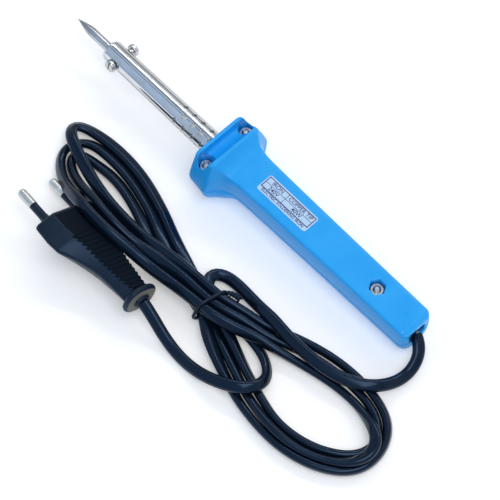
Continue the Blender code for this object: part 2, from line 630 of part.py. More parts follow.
# Outside of the tied hank, a long bow tie with its waist at the twist tie.
HANK_OUTLINE = ((64.0, 34.0), (61.5, 29.5), (55.0, 26.2), (44.0, 23.6), (30.0, 22.8), (16.0, 25.0),
                (2.0, 29.6), (-14.0, 35.4), (-28.0, 40.6), (-38.0, 43.2), (-44.0, 43.0), (-56.0, 33.6),
                (-70.0, 29.8), (-90.0, 27.0), (-108.0, 25.4), (-124.0, 27.6), (-134.0, 33.6),
                (-139.6, 43.0), (-139.6, 54.0), (-135.0, 64.0), (-126.0, 71.4), (-112.0, 76.0),
                (-96.0, 76.6), (-80.0, 75.6), (-66.0, 72.0), (-54.0, 66.4), (-44.0, 58.8), (-38.0, 57.8),
                (-22.0, 56.0), (-12.0, 54.0), (-4.0, 51.4), (10.0, 50.6), (28.0, 50.4), (40.0, 50.2),
                (50.0, 47.4), (58.0, 42.6))


def make_cord(mats):
    spacing = 3 * CORD_R
    tube("cord_handle_tail", smooth_route(HANDLE_TAIL, spacing), CORD_R, mats["cord_pvc"])
    tube("cord_plug_tail", smooth_route(PLUG_TAIL, spacing), CORD_R, mats["cord_pvc"])
    tube("cord_over_plug", smooth_route(OVER_PLUG, spacing), CORD_R, mats["cord_pvc"])
    hank = prism("cord_hank", HANK_OUTLINE, 0.05, HANK_HEIGHT, mats["cord_pvc"])
    groove_outer = rectangle(2.4, 30, TIE_X, 50)
    groove = prism("tie_groove_tool", groove_outer, -2, 12)
    keep = loft("tie_keep_tool", [[(x, y, z) for y, z in ((44.8, 1.7), (56.4, 1.7), (56.4, 7.4), (44.8, 7.4))]
                                  for x in (TIE_X - 4, TIE_X + 4)])
    combine(groove, keep)
    combine(hank, groove)


def make_twist_tie(mats):
    """A wire tie round the hank's waist, its two ends twisted together on the handle's side."""
    low, high = 1.7 - GAP - TIE_WIRE_R, 7.4 + GAP + TIE_WIRE_R
    near, far = 44.8 - GAP - TIE_WIRE_R, 56.4 + GAP + TIE_WIRE_R
    bend = 1.2
    loop = []
    for cy, cz, first in ((far - bend, high - bend, 0), (near + bend, high - bend, 90),
                          (near + bend, low + bend, 180), (far - bend, low + bend, 270)):
        for k in range(4):
            angle = math.radians(first + 30 * k)
            loop.append((TIE_X, cy + bend * math.cos(angle), cz + bend * math.sin(angle)))
    verts, faces, sides = [], [], 8
    for i, point in enumerate(loop):
        ahead = Vector(loop[(i + 1) % len(loop)]) - Vector(loop[i - 1])
        across = ahead.normalized().cross(Vector((1, 0, 0)))
        for k in range(sides):
            angle = math.tau * k / sides
            verts.append(Vector(point) + TIE_WIRE_R * (math.cos(angle) * Vector((1, 0, 0))
                                                      + math.sin(angle) * across))
    total = len(loop)
    for i in range(total):
        for k in range(sides):
            a, b = i * sides + k, i * sides + (k + 1) % sides
            c, d = ((i + 1) % total) * sides + (k + 1) % sides, ((i + 1) % total) * sides + k
            faces.append([a, b, c, d])
    mesh_object("twist_tie", verts, faces, mats["plug_pvc"])


def plug_matrix():
    """The plug's own frame: +X along the pins, +Y from the second pin to the first, +Z out of a wide face."""
    return (Matrix.Translation(PLUG_FACE * MM) @ Matrix.Rotation(PLUG_YAW, 4, "Z")
            @ Matrix.Rotation(PLUG_ROLL, 4, "X"))


def plug_ring(x, width, flat, thick):
    """Six-sided section: two flats joined by pointed sides."""
    return [(x, flat, thick), (x, width, 0.8), (x, width, -0.8), (x, flat, -thick),
            (x, -flat, -thick), (x, -width, -0.8), (x, -width, 0.8), (x, -flat, thick)]


def make_plug(mats):
    wide, flat, thick = PLUG_HALF_WIDTH, PLUG_HALF_FLAT, PLUG_HALF_THICK
    sections = ((0, wide - 1.6, flat - 0.8, thick - 1.6), (-0.6, wide - 0.5, flat, thick - 0.5),
                (-1.8, wide, flat, thick), (-18.5, wide, flat, thick), (-21.5, wide - 3.4, flat - 0.2, thick),
                (-25.0, wide - 7.4, flat - 0.9, thick), (-29.0, wide - 9.8, flat - 2.0, thick),
                (-35.0, wide - 11.2, flat - 3.6, thick - 0.3), (-43.0, wide - 11.6, flat - 4.8, thick - 0.8),
                (-48.6, wide - 11.4, flat - 5.0, thick - 1.2), (-48.6, 7.7, 5.4, 6.0),
                (-49.4, 8.1, 5.8, 6.4), (-50.6, 8.1, 5.8, 6.4), (-51.4, 7.6, 5.3, 5.9),
                (-51.4, 3.4, 1.8, 2.6), (-52.8, 2.9, 1.6, 2.4))
    place = plug_matrix()
    body = loft("plug_body", [plug_ring(*section) for section in sections], mats["plug_pvc"], None, place)
    for letter, side in (("a", 1), ("b", -1)):
        y = side * PIN_SPACING / 2
        pin_place = place @ Matrix.Translation(Vector((0, y, 0)) * MM)
        pin = ((-3.0, 0), (-3.0, 1.3), (SLEEVE_LENGTH + GAP, 1.3), (SLEEVE_LENGTH + GAP, PIN_R),
               (PIN_LENGTH - 1.5, PIN_R), (PIN_LENGTH - 0.45, PIN_R - 0.55), (PIN_LENGTH, PIN_R - 1.3),
               (PIN_LENGTH, 0))
        turned(f"plug_pin_{letter}", pin, mats["plated_steel"], None, pin_place, sides=20)
        collar = ((-2.7, 1.6), (-2.7, PIN_R), (SLEEVE_LENGTH, PIN_R), (SLEEVE_LENGTH, 1.6))
        turned(f"pin_sleeve_{letter}", collar, mats["plug_pvc"], None, pin_place, sides=20)
        hole = PIN_R + GAP
        socket = turned(f"pin_socket_tool_{letter}", ((-3.3, 0), (-3.3, hole), (3, hole), (3, 0)), None, None,
                        pin_place, sides=20)
        combine(body, socket)


# ---------------------------------------------------------------- assembly

def main():
    for obj in list(bpy.data.objects):
        bpy.data.objects.remove(obj, do_unlink=True)
    mats = make_materials()
    iron = bpy.data.objects.new("iron_axis", None)
    bpy.context.scene.collection.objects.link(iron)
    iron.matrix_world = (Matrix.Translation(Vector((0, 0, AXIS_HEIGHT)) * MM)
                         @ Matrix.Rotation(-LEAN, 4, "Y"))
    make_upper_shell(mats, iron)
    make_lower_shell(mats, iron)
    make_handle_fasteners(mats, iron)
    make_barrel(mats, iron)
    make_barrel_fittings(mats, iron)
    make_clamp_screws(mats, iron)
    make_bit(mats, iron)
    make_heater(mats, iron)
    make_wiring(mats, iron)
    make_cord_anchor(mats, iron)
    make_label(mats, iron)
    make_cord(mats)
    make_twist_tie(mats)
    make_plug(mats)


main()
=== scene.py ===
"""Looks of the mains soldering iron: moulded handle, vented barrel, clamp screws, bit, the flat flex in
its tied hank, and the two-pin plug. Shapes are in millimetres; the camera, the lights and the materials'
depths and Object coordinates are in metres. The flex and the tie are made in the part's frame, the iron's
own pieces about the barrel's axis, placed by IRON, and the plug's behind its face, placed by PLUG.
"""
import json
from math import copysign, cos, pi, radians, sin, sqrt, tau

import bmesh
import bpy
import numpy as np
from mathutils import Matrix, Vector


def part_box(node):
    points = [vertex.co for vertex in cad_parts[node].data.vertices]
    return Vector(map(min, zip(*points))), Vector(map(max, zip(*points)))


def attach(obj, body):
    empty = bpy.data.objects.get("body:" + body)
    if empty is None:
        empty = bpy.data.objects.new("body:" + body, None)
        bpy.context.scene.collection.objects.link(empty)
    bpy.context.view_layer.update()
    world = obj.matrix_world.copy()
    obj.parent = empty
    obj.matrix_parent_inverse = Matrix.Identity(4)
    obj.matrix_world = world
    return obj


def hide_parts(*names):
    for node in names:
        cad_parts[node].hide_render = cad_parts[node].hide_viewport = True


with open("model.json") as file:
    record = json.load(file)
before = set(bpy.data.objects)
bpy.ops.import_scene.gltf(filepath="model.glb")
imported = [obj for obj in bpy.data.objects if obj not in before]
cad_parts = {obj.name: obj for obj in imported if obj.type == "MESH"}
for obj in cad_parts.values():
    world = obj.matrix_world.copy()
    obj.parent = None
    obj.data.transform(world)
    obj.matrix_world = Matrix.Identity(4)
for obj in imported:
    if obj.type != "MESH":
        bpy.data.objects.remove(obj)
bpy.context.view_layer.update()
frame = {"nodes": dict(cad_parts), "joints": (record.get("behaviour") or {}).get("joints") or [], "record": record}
MM = 0.001
WORLD = Matrix.Identity(4)
FLANGE_X = -15.8
PLUG_ROLL = radians(30.0)
JOINT_AXES = {joint["name"]: Vector(joint["axis"]) for joint in frame["joints"]}
MOUNTS = {mount["name"]: mount for mount in frame["record"]["mounts"]}


def middle_of(node):
    low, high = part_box(node)
    return (low + high) / 2


def placed(origin, along, up=(0, 0, 1)):
    """A place whose X runs along a direction and whose Z is as near to up as it can be."""
    x = Vector(along).normalized()
    y = Vector(up).cross(x).normalized()
    matrix = Matrix((x, y, x.cross(y))).transposed().to_4x4()
    matrix.translation = origin
    return matrix


BARREL_AXIS = JOINT_AXES["bit_slide"]
IRON = placed(middle_of("barrel_flange") - BARREL_AXIS * FLANGE_X * MM, BARREL_AXIS)
PLUG = placed(MOUNTS["plug_face"]["pos_m"], MOUNTS["plug_face"]["axis"]) @ Matrix.Rotation(PLUG_ROLL, 4, "X")


def added(name, data):
    """A new object in the scene."""
    obj = bpy.data.objects.new(name, data)
    bpy.context.scene.collection.objects.link(obj)
    return obj


def point_at(obj, spot, aim):
    """Puts a camera or a light at a spot and turns it to what it looks at."""
    obj.location = spot
    obj.rotation_euler = (Vector(aim) - Vector(spot)).to_track_quat("-Z", "Y").to_euler()


def make_camera():
    data = bpy.data.cameras.new("camera")
    data.sensor_width, data.lens = 36.0, 208.0
    data.clip_start, data.clip_end = 0.05, 20.0
    camera = added("camera", data)
    point_at(camera, (-0.43767, 0.40577, 1.07441), (-0.0378, 0.0222, 0.0100))
    bpy.context.scene.camera = camera


# ---------------------------------------------------------------- node helpers

def set_inputs(node, values):
    for name, value in values.items():
        node.inputs[name].default_value = value


def principled(name, color, rough, metallic=0.0, **more):
    """A new material, its node tree and its shader; more are other inputs, with _ for each space."""
    mat = bpy.data.materials.new("look_" + name)
    mat.use_nodes = True
    shader = mat.node_tree.nodes["Principled BSDF"]
    set_inputs(shader, {"Base Color": (*color, 1.0), "Roughness": rough, "Metallic": metallic})
    set_inputs(shader, {key.replace("_", " "): value for key, value in more.items()})
    return mat, mat.node_tree, shader


def add_node(tree, kind, fed, fed_from, values):
    """A node with one input fed from another node's output, and values for other inputs."""
    node = tree.nodes.new("ShaderNode" + kind)
    set_inputs(node, values)
    tree.links.new(fed_from, node.inputs[fed])
    return node


def coords(tree, scale=(1.0, 1.0, 1.0), turn=0.0):
    """Object coordinates, scaled, and turned about Z."""
    place = tree.nodes.new("ShaderNodeTexCoord").outputs["Object"]
    values = {"Scale": scale, "Rotation": (0.0, 0.0, turn)}
    return add_node(tree, "Mapping", "Vector", place, values).outputs["Vector"]


def split_coords(tree, source):
    """A texture coordinate's own X, Y and Z."""
    place = tree.nodes.new("ShaderNodeTexCoord").outputs[source]
    return add_node(tree, "SeparateXYZ", "Vector", place, {}).outputs


def noise(tree, vector, scale, detail=2.0, rough=0.5):
    values = {"Scale": scale, "Detail": detail, "Roughness": rough}
    return add_node(tree, "TexNoise", "Vector", vector, values).outputs["Fac"]


def ramp(tree, fac, target, *stops):
    """A colour by (place, colour) stops, into a target input."""
    node = add_node(tree, "ValToRGB", "Fac", fac, {})
    ends = node.color_ramp.elements
    while len(ends) < len(stops):
        ends.new(0.5)
    for element, (place, color) in zip(ends, stops):
        element.position = place
        element.color = (*color, 1.0)
    tree.links.new(node.outputs["Color"], target)


def remap(tree, fac, low, high, from_low=0.3, from_high=0.7):
    values = {"From Min": from_low, "From Max": from_high, "To Min": low, "To Max": high}
    return add_node(tree, "MapRange", "Value", fac, values).outputs["Result"]


def tint(tree, shader, fac, *stops):
    ramp(tree, fac, shader.inputs["Base Color"], *stops)


def gloss(tree, shader, fac, low, high, from_low=0.3, from_high=0.7):
    """Roughness from low to high as a value goes from one level to the other."""
    tree.links.new(remap(tree, fac, low, high, from_low, from_high), shader.inputs["Roughness"])


def bump(tree, shader, height, strength, distance):
    node = add_node(tree, "Bump", "Height", height, {"Strength": strength, "Distance": distance})
    tree.links.new(node.outputs["Normal"], shader.inputs["Normal"])


def add_height(tree, first, second, share):
    node = tree.nodes.new("ShaderNodeMath")
    node.operation = "MULTIPLY_ADD"
    node.inputs[1].default_value = share
    tree.links.new(second, node.inputs[0])
    tree.links.new(first, node.inputs[2])
    return node.outputs[0]


# ---------------------------------------------------------------- materials

STEEL_EDGE = (0.42, 0.38, 0.30, 1.0)


def moulded_blue():
    """Glossy injection-moulded plastic: a faint orange peel, cloudy gloss and hairline rub marks."""
    mat, tree, shader = principled("blue_shell", (0.010, 0.375, 0.87), 0.3, Specular_IOR_Level=0.42,
                                   Subsurface_Weight=0.06, Subsurface_Radius=(0.0008, 0.0012, 0.0018))
    where = coords(tree)
    cloud = noise(tree, where, 90.0, 3.0)
    tint(tree, shader, cloud, (0.3, (0.007, 0.362, 0.855)), (0.7, (0.013, 0.388, 0.885)))
    rubs = noise(tree, coords(tree, (0.12, 1.0, 1.0)), 2600.0, 3.0, 0.6)
    gloss(tree, shader, add_height(tree, cloud, rubs, 0.35), 0.26, 0.40, 0.4, 1.0)
    peel = noise(tree, where, 1300.0)
    bump(tree, shader, add_height(tree, peel, rubs, 0.25), 0.10, 0.00006)
    return mat


def drawn_steel(name, color, dull, rough):
    """Bright metal with fine lengthwise drawing marks, cloudy tarnish and pin-point wear."""
    mat, tree, shader = principled(name, color, rough, 1.0, Specular_Tint=STEEL_EDGE)
    lines = noise(tree, coords(tree, (0.02, 1.0, 1.0)), 5200.0, 3.0, 0.65)
    cloud = noise(tree, coords(tree), 260.0, 4.0, 0.6)
    tint(tree, shader, cloud, (0.34, dull), (0.62, color))
    gloss(tree, shader, add_height(tree, cloud, lines, 0.5), rough * 0.8, rough * 1.7, 0.5, 1.0)
    bump(tree, shader, lines, 0.12, 0.00003)
    return mat


def barrel_steel():
    """Polished tube: streaks run along it, and long clouds make it duller and warmer in places."""
    mat, tree, shader = principled("polished_steel", (0.66, 0.70, 0.75), 0.15, 1.0, Specular_Tint=STEEL_EDGE)
    lines = noise(tree, coords(tree, (0.015, 1.0, 1.0)), 4200.0, 3.0, 0.6)
    cloud = noise(tree, coords(tree, (0.5, 1.0, 1.0)), 170.0, 4.0, 0.6)
    tint(tree, shader, cloud, (0.30, (0.60, 0.61, 0.60)), (0.5, (0.70, 0.735, 0.78)),
         (0.72, (0.76, 0.80, 0.85)))
    gloss(tree, shader, add_height(tree, cloud, lines, 0.4), 0.07, 0.15, 0.45, 0.95)
    bump(tree, shader, lines, 0.10, 0.00003)
    return mat


def bit_metal():
    """Plated copper: satin grey shank, darker and rougher where the point has been heated."""
    mat, tree, shader = principled("bit_plate", (0.50, 0.52, 0.55), 0.3, 1.0, Specular_Tint=STEEL_EDGE)
    cloud = noise(tree, coords(tree), 700.0, 4.0, 0.65)
    along = remap(tree, split_coords(tree, "Object")["X"], 0.0, 1.0, 0.079, 0.0925)
    heat = add_height(tree, along, cloud, 0.35)
    tint(tree, shader, heat, (0.15, (0.60, 0.62, 0.65)), (0.45, (0.46, 0.48, 0.51)),
         (0.95, (0.33, 0.34, 0.36)))
    gloss(tree, shader, heat, 0.2, 0.42, 0.1, 1.2)
    bump(tree, shader, cloud, 0.15, 0.00005)
    return mat


def soft_pvc(name, color, light, rough_low, rough_high, grain, depth, level=0.5):
    """Flexible PVC: faint bloom in patches, fine pitting and a soft sheen."""
    mat, tree, shader = principled(name, color, rough_low, Specular_Tint=(0.40, 0.62, 1.0, 1.0),
                                   Specular_IOR_Level=level)
    where = coords(tree)
    cloud = noise(tree, where, 120.0, 4.0, 0.6)
    tint(tree, shader, cloud, (0.35, color), (0.72, light))
    pits = noise(tree, where, grain, 3.0, 0.6)
    gloss(tree, shader, add_height(tree, cloud, pits, 0.4), rough_low, rough_high, 0.45, 0.95)
    bump(tree, shader, pits, 0.22, depth)
    return mat


def cast_stuff(name, color, other, rough, scale, depth, metallic=0.0):
    """A matt material with mottled colour and a rough skin."""
    mat, tree, shader = principled(name, color, rough, metallic)
    where = coords(tree)
    cloud = noise(tree, where, scale, 4.0, 0.6)
    tint(tree, shader, cloud, (0.3, color), (0.7, other))
    gloss(tree, shader, cloud, rough * 0.85, rough * 1.2)
    bump(tree, shader, noise(tree, where, scale * 5), 0.3, depth)
    return mat


def woven_sleeve():
    """Glass-fibre sleeving: two crossing sets of strands."""
    mat, tree, shader = principled("glass_sleeve", (0.70, 0.68, 0.61), 0.8)
    values = {"Scale": 900.0, "Distortion": 1.0}
    one, other = (add_node(tree, "TexWave", "Vector", coords(tree, turn=tilt), values).outputs["Fac"]
                  for tilt in (0.8, -0.8))
    both = add_height(tree, one, other, 1.0)
    tint(tree, shader, both, (0.3, (0.58, 0.56, 0.49)), (0.9, (0.78, 0.76, 0.70)))
    bump(tree, shader, both, 0.5, 0.0001)
    return mat


def label_stock():
    """Pale printed film: faint mottle and a satin overlay."""
    mat, tree, shader = principled("label_film", (0.50, 0.67, 0.87), 0.42,
                                   Coat_Weight=0.25, Coat_Roughness=0.25)
    where = coords(tree)
    cloud = noise(tree, where, 700.0, 4.0, 0.6)
    tint(tree, shader, cloud, (0.3, (0.475, 0.645, 0.85)), (0.7, (0.53, 0.70, 0.89)))
    bump(tree, shader, noise(tree, where, 2400.0), 0.08, 0.00004)
    return mat


def label_ink():
    mat, tree, shader = principled("label_ink", (0.008, 0.012, 0.13), 0.45)
    cloud = noise(tree, coords(tree), 3800.0, 3.0, 0.7)
    tint(tree, shader, cloud, (0.3, (0.006, 0.010, 0.12)), (0.75, (0.018, 0.028, 0.19)))
    gloss(tree, shader, cloud, 0.4, 0.55)
    return mat


LOOK = {
    "blue_shell": moulded_blue(),
    "polished_steel": barrel_steel(),
    "plated_steel": drawn_steel("plated_steel", (0.74, 0.75, 0.76), (0.58, 0.58, 0.57), 0.2),
    "plated_pins": drawn_steel("plated_pins", (0.78, 0.78, 0.75), (0.64, 0.64, 0.60), 0.30),
    "bit_plate": bit_metal(),
    "mica": cast_stuff("mica", (0.86, 0.86, 0.84), (0.74, 0.73, 0.69), 0.45, 500.0, 0.00008),
    "nichrome": drawn_steel("nichrome", (0.40, 0.37, 0.34), (0.25, 0.22, 0.20), 0.4),
    "ceramic": cast_stuff("ceramic", (0.80, 0.78, 0.72), (0.70, 0.67, 0.60), 0.6, 600.0, 0.00006),
    "glass_sleeve": woven_sleeve(),
    "clear_cap": cast_stuff("clear_cap", (0.60, 0.62, 0.60), (0.50, 0.52, 0.50), 0.32, 400.0, 0.00004),
    "core_plastic": cast_stuff("core_plastic", (0.10, 0.16, 0.40), (0.08, 0.13, 0.34), 0.45, 400.0, 0.00004),
    "label_film": label_stock(),
    "cord_pvc": soft_pvc("cord_pvc", (0.002, 0.0052, 0.011), (0.003, 0.0076, 0.0155), 0.16, 0.24, 1500.0,
                         0.00003),
    "plug_pvc": soft_pvc("plug_pvc", (0.003, 0.0068, 0.013), (0.005, 0.0105, 0.019), 0.34, 0.5, 1900.0,
                         0.00009),
}
INK = label_ink()
# Dark metal for the barrel's inside and its vent-hole walls: partly heat oxide, partly painted shade that stands
# for the shadow inside the vent holes.
INSIDE_OXIDE_AND_SHADE = cast_stuff("barrel_inside", (0.045, 0.045, 0.042), (0.10, 0.095, 0.085), 0.55, 500.0, 0.00005, 0.8)
TAIL_GREY = cast_stuff("plug_tail_face", (0.115, 0.115, 0.10), (0.15, 0.145, 0.125), 0.55, 500.0, 0.00005)
# Plug plastic for the top flats and the top grip: a real matt finish (rougher, less specular), and a darker colour
# that is painted shade, because those faces turn away from the lights.
MATT_AND_SHADE = soft_pvc("plug_matt_painted_shade", (0.001, 0.0024, 0.0044), (0.0018, 0.0038, 0.0066), 0.6, 0.75, 1900.0,
                0.00009, 0.22)


# ---------------------------------------------------------------- mesh helpers

def add_mesh(name, verts, faces, slot, matrix=WORLD, angle=35.0, look=None):
    """A mesh from points in millimetres, faces turned outwards, edges over the angle kept sharp."""
    bm = bmesh.new()
    points = [bm.verts.new(Vector(v) * MM) for v in verts]
    for face in faces:
        bm.faces.new([points[i] for i in face])
    bmesh.ops.recalc_face_normals(bm, faces=bm.faces)
    mesh = bpy.data.meshes.new(name)
    bm.to_mesh(mesh)
    bm.free()
    mesh.shade_smooth()
    mesh.set_sharp_from_angle(angle=radians(angle))
    obj = added(name, mesh)
    obj.matrix_world = matrix
    if slot:
        mesh.materials.append(look or LOOK[slot])
    return obj


def ring_faces(rows, count, closed=False):
    """Quads between rings of points that are numbered ring after ring, and end faces unless closed."""
    faces = []
    for i in range(rows if closed else rows - 1):
        for j in range(count):
            a, b = i * count + j, i * count + (j + 1) % count
            c, d = ((i + 1) % rows) * count + (j + 1) % count, ((i + 1) % rows) * count + j
            faces.append([a, b, c, d])
    if not closed:
        faces += [list(range(count)), list(range((rows - 1) * count, rows * count))]
    return faces


def loft(name, rings, slot, matrix=WORLD, angle=35.0, closed=False):
    faces = ring_faces(len(rings), len(rings[0]), closed)
    return add_mesh(name, [p for ring in rings for p in ring], faces, slot, matrix, angle)


def turned(name, profile, slot, matrix=WORLD, sides=48, axis="X", angle=35.0):
    """A turned piece from (along, radius) points, solid if it starts and ends at radius 0."""
    solid = profile[0][1] == 0 and profile[-1][1] == 0
    verts, rows = [], []
    for along, radius in profile:
        row = []
        for k in range(1 if radius == 0 else sides):
            turn = tau * k / sides
            y, z = radius * cos(turn), radius * sin(turn)
            row.append(len(verts))
            verts.append((along, y, z) if axis == "X" else (y, z, along))
        rows.append(row)
    faces = []
    for first, second in list(zip(rows, rows[1:])) + ([] if solid else [(rows[-1], rows[0])]):
        for k in range(sides):
            corners = [first[k % len(first)], first[(k + 1) % len(first)],
                       second[(k + 1) % len(second)], second[k % len(second)]]
            faces.append(list(dict.fromkeys(corners)))
    return add_mesh(name, verts, faces, slot, matrix, angle)


def corner_arc(before, here, after, size, room, steps=4):
    """Points that round a corner off, using at most a share of the two sides that meet there."""
    p, a, b = Vector(here), Vector(before), Vector(after)
    size = min(size, (a - p).length * room, (b - p).length * room)
    start, end = p + (a - p).normalized() * size, p + (b - p).normalized() * size
    shares = [k / steps for k in range(steps + 1)]
    return [tuple(start * (1 - t) ** 2 + p * 2 * t * (1 - t) + end * t ** 2) for t in shares]


def rounded(profile, radius):
    """A profile with the corners between its ends rounded."""
    out = [profile[0]]
    for before, here, after in zip(profile, profile[1:], profile[2:]):
        out += corner_arc(before, here, after, radius, 0.48)
    return out + [profile[-1]]


def prism(name, outline, low, high, matrix=WORLD):
    return loft(name, [[(x, y, z) for x, y in outline] for z in (low, high)], None, matrix)


def moved(matrix, x=0.0, y=0.0, z=0.0):
    """A place with its origin moved along its own axes."""
    return matrix @ Matrix.Translation(Vector((x, y, z)) * MM)


def circle(radius, sides=48, x=0.0, y=0.0):
    return [(x + radius * cos(tau * k / sides), y + radius * sin(tau * k / sides))
            for k in range(sides)]


def hexagon(across_flats, x=0.0, y=0.0):
    return circle(across_flats / sqrt(3), 6, x, y)


def rectangle(x_size, y_size, x=0.0, y=0.0):
    return [(x + sx * x_size / 2, y + sy * y_size / 2) for sx, sy in ((-1, -1), (1, -1), (1, 1), (-1, 1))]


def combine(target, tool, operation="DIFFERENCE"):
    """Cuts a tool out of a mesh, or joins it on; bake carries it out."""
    modifier = target.modifiers.new(tool.name, "BOOLEAN")
    modifier.operation = operation
    modifier.solver = "EXACT"
    modifier.object = tool


def into_frame(obj):
    """Writes a piece's place into its points, so that its box is the true one."""
    obj.data.transform(obj.matrix_world)
    obj.matrix_world = WORLD


def bake(obj, soften=None, angle=35.0):
    """Turns an object's modifiers into its mesh and removes the tools they used. soften is (voxel in
    millimetres, smoothing steps) for a moulded piece, which then has soft edges."""
    tools = [m.object for m in obj.modifiers if m.type == "BOOLEAN"]
    if soften:
        remesh = obj.modifiers.new("remesh", "REMESH")
        remesh.mode = "VOXEL"
        remesh.voxel_size = soften[0] * MM
        smooth = obj.modifiers.new("smooth", "SMOOTH")
        smooth.factor = 0.5
        smooth.iterations = soften[1]
    bpy.context.view_layer.update()
    graph = bpy.context.evaluated_depsgraph_get()
    mesh = bpy.data.meshes.new_from_object(obj.evaluated_get(graph))
    obj.modifiers.clear()
    obj.data = mesh
    mesh.shade_smooth()
    if soften:
        into_frame(obj)
    else:
        mesh.set_sharp_from_angle(angle=radians(angle))
    for tool in tools:
        if tool:
            bpy.data.objects.remove(tool, do_unlink=True)
    return obj


def on_body(obj, body, *nodes):
    """The piece rides on a body, and stands for the CAD nodes named."""
    if nodes:
        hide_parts(*nodes)
    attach(obj, body)
    return obj


# ---------------------------------------------------------------- the flex

CORD_WIDTH, CORD_THICK = 5.4, 3.6
TIE_X = -44.0
TIE_LOW, TIE_HIGH = 46.6, 54.6
# Runs of the flex as laid: x, y, z and how the flat section lies (0 on edge, 90 flat).
FROM_HANDLE = (
    (-112.9, 0, 9.4, 90), (-117, 1.8, 9.2, 80), (-120.2, 6, 6.8, 60), (-121.4, 11, 4.4, 45),
    (-121.2, 17, 4.4, 45), (-119.8, 22.8, 6.2, 50), (-117.2, 27.8, 7.9, 60), (-113, 31.7, 8.2, 65),
    (-107.5, 34.4, 8.2, 65), (-101.5, 36.3, 8.2, 65), (-94, 37.6, 8.2, 60), (-86, 38.2, 7.6, 55),
    (-78, 38.2, 6.4, 55), (-65, 37.5, 5.2, 60), (-55.5, 36.2, 4.2, 60), (-46.5, 35, 3.6, 60),
    (-38.5, 35, 3.6, 55), (-34, 37.2, 4.4, 50), (-32.6, 41, 5.6, 50), (-35, 44.2, 6.2, 70),
    (-39, 46.8, 5.8, 90))
LOWER_3 = (
    (-47, 50.6, 3.8, 85), (-54.5, 53.6, 3.4, 60), (-62, 56, 3, 40), (-70, 58.5, 2.7, 30),
    (-76.5, 60.4, 2.6, 25), (-83, 62.2, 2.6, 25), (-90, 64.4, 2.6, 20), (-97.5, 66.5, 2.6, 15),
    (-105, 66.8, 2.6, 15), (-112.5, 65.9, 2.6, 15), (-119.5, 63.9, 2.6, 15), (-126, 60.4, 2.6, 15),
    (-131.4, 55.2, 2.6, 15), (-134.2, 48.9, 2.7, 10), (-134, 43.2, 2.7, 0), (-131.2, 38.6, 2.7, -10),
    (-126.4, 35.3, 2.6, -20), (-120, 33.3, 2.6, -20), (-112, 32.7, 2.6, -20), (-102.5, 33, 2.6, -20),
    (-92.5, 34.3, 2.6, -20), (-83.5, 36.9, 2.6, -20), (-75.5, 40.2, 2.8, -10), (-68, 43.6, 4.6, 10),
    (-60, 46.3, 7.4, 40), (-52.5, 48.4, 9, 35), (-47, 49.6, 9.3, 30))
UPPER_C_LEFT = (
    (-31, 50.9, 9.3, 30), (-21.5, 51.4, 9.2, 40), (-12, 52.3, 8.8, 60), (-1.5, 55, 10, 60), (4, 56, 12, 45),
    (9, 56.4, 13.6, 35), (15.5, 56.2, 13.8, 30), (22, 55.4, 12.8, 30), (29, 53.9, 10.4, 30),
    (36, 51.8, 7.2, 25), (42, 49.4, 4.6, 20), (47, 46.6, 3.2, 20), (50.2, 43.8, 2.8, 20))
UPPER_C_RIGHT = (
    (50.8, 41.2, 2.8, 30), (47.8, 39.4, 2.8, 40), (42.5, 38.5, 2.7, 45), (37.5, 38, 2.7, 50),
    (32.5, 37.2, 2.7, 55), (26.5, 37.4, 2.6, 55), (21, 38.1, 2.6, 55), (15, 39.3, 2.5, 55),
    (9.5, 40.9, 2.4, 60), (4, 42.7, 2.2, 70), (-1, 45, 2, 80), (-7, 47.4, 1.9, 90), (-17.5, 50.4, 1.9, 90),
    (-27, 51.4, 1.9, 90), (-35, 51.8, 1.9, 90))
LOWER_2 = (
    (-44, 52.7, 2, 85), (-51.5, 55.8, 2.2, 60), (-60, 58.9, 2.4, 45), (-67.5, 61.4, 2.5, 35),
    (-74.5, 64, 2.5, 30), (-82, 66.4, 3, 25), (-90, 68.4, 4.6, 25), (-98, 69.6, 5.4, 25),
    (-106, 69.7, 5.2, 25), (-114, 68.3, 4.4, 25), (-121.5, 65.7, 4, 25), (-128.5, 61.8, 4.2, 30),
    (-133.6, 57.8, 5.2, 40), (-136.6, 53.8, 6.6, 60), (-137.4, 49.8, 7.2, 75), (-136.2, 45.8, 7.2, 75),
    (-132.4, 42, 6.4, 50), (-125, 39.2, 4, 10), (-116, 37.4, 2.7, -20), (-107, 37.5, 2.6, -20),
    (-97.5, 38.9, 2.6, -20), (-85.5, 41.8, 2.8, -20), (-74.5, 45.3, 3.4, 0), (-65, 48.4, 5.2, 25),
    (-58, 50.6, 7.2, 45), (-52, 52.2, 8.8, 40), (-46, 53.2, 9.3, 30))
UPPER_B_LEFT = (
    (-37.5, 53.7, 9.3, 30), (-29, 54, 9.2, 40), (-21, 54.9, 9, 60), (-14, 56.2, 8.8, 60),
    (-8, 57.7, 10.4, 50), (-2, 59.5, 13.2, 45), (4.5, 61, 15.8, 40), (12, 61.4, 16.8, 40),
    (20, 61.2, 16.8, 40), (28, 59.7, 14.6, 40), (37, 57, 9.6, 40), (44.5, 53.5, 5.5, 35),
    (50, 49.7, 3.4, 30), (53.5, 46.3, 2.9, 25))
UPPER_B_RIGHT = (
    (55, 42.6, 2.8, 20), (54.4, 38.6, 2.8, 25), (51.8, 34.6, 2.8, 45), (47, 32, 2.7, 50),
    (42, 31.4, 2.7, 50), (37, 31.3, 2.7, 50), (31.5, 31.6, 2.6, 50), (25.5, 32.5, 2.6, 50),
    (19.5, 33.8, 2.6, 50), (13.5, 35.5, 2.5, 40), (7.5, 37.2, 2.4, 50), (2, 39.1, 2.3, 60),
    (-4, 42, 2.1, 75), (-11, 44.9, 2, 90), (-18.5, 47.6, 2.2, 90), (-27, 50.6, 4.4, 80),
    (-33, 52.8, 5.4, 70), (-37.6, 54.6, 4.2, 65))
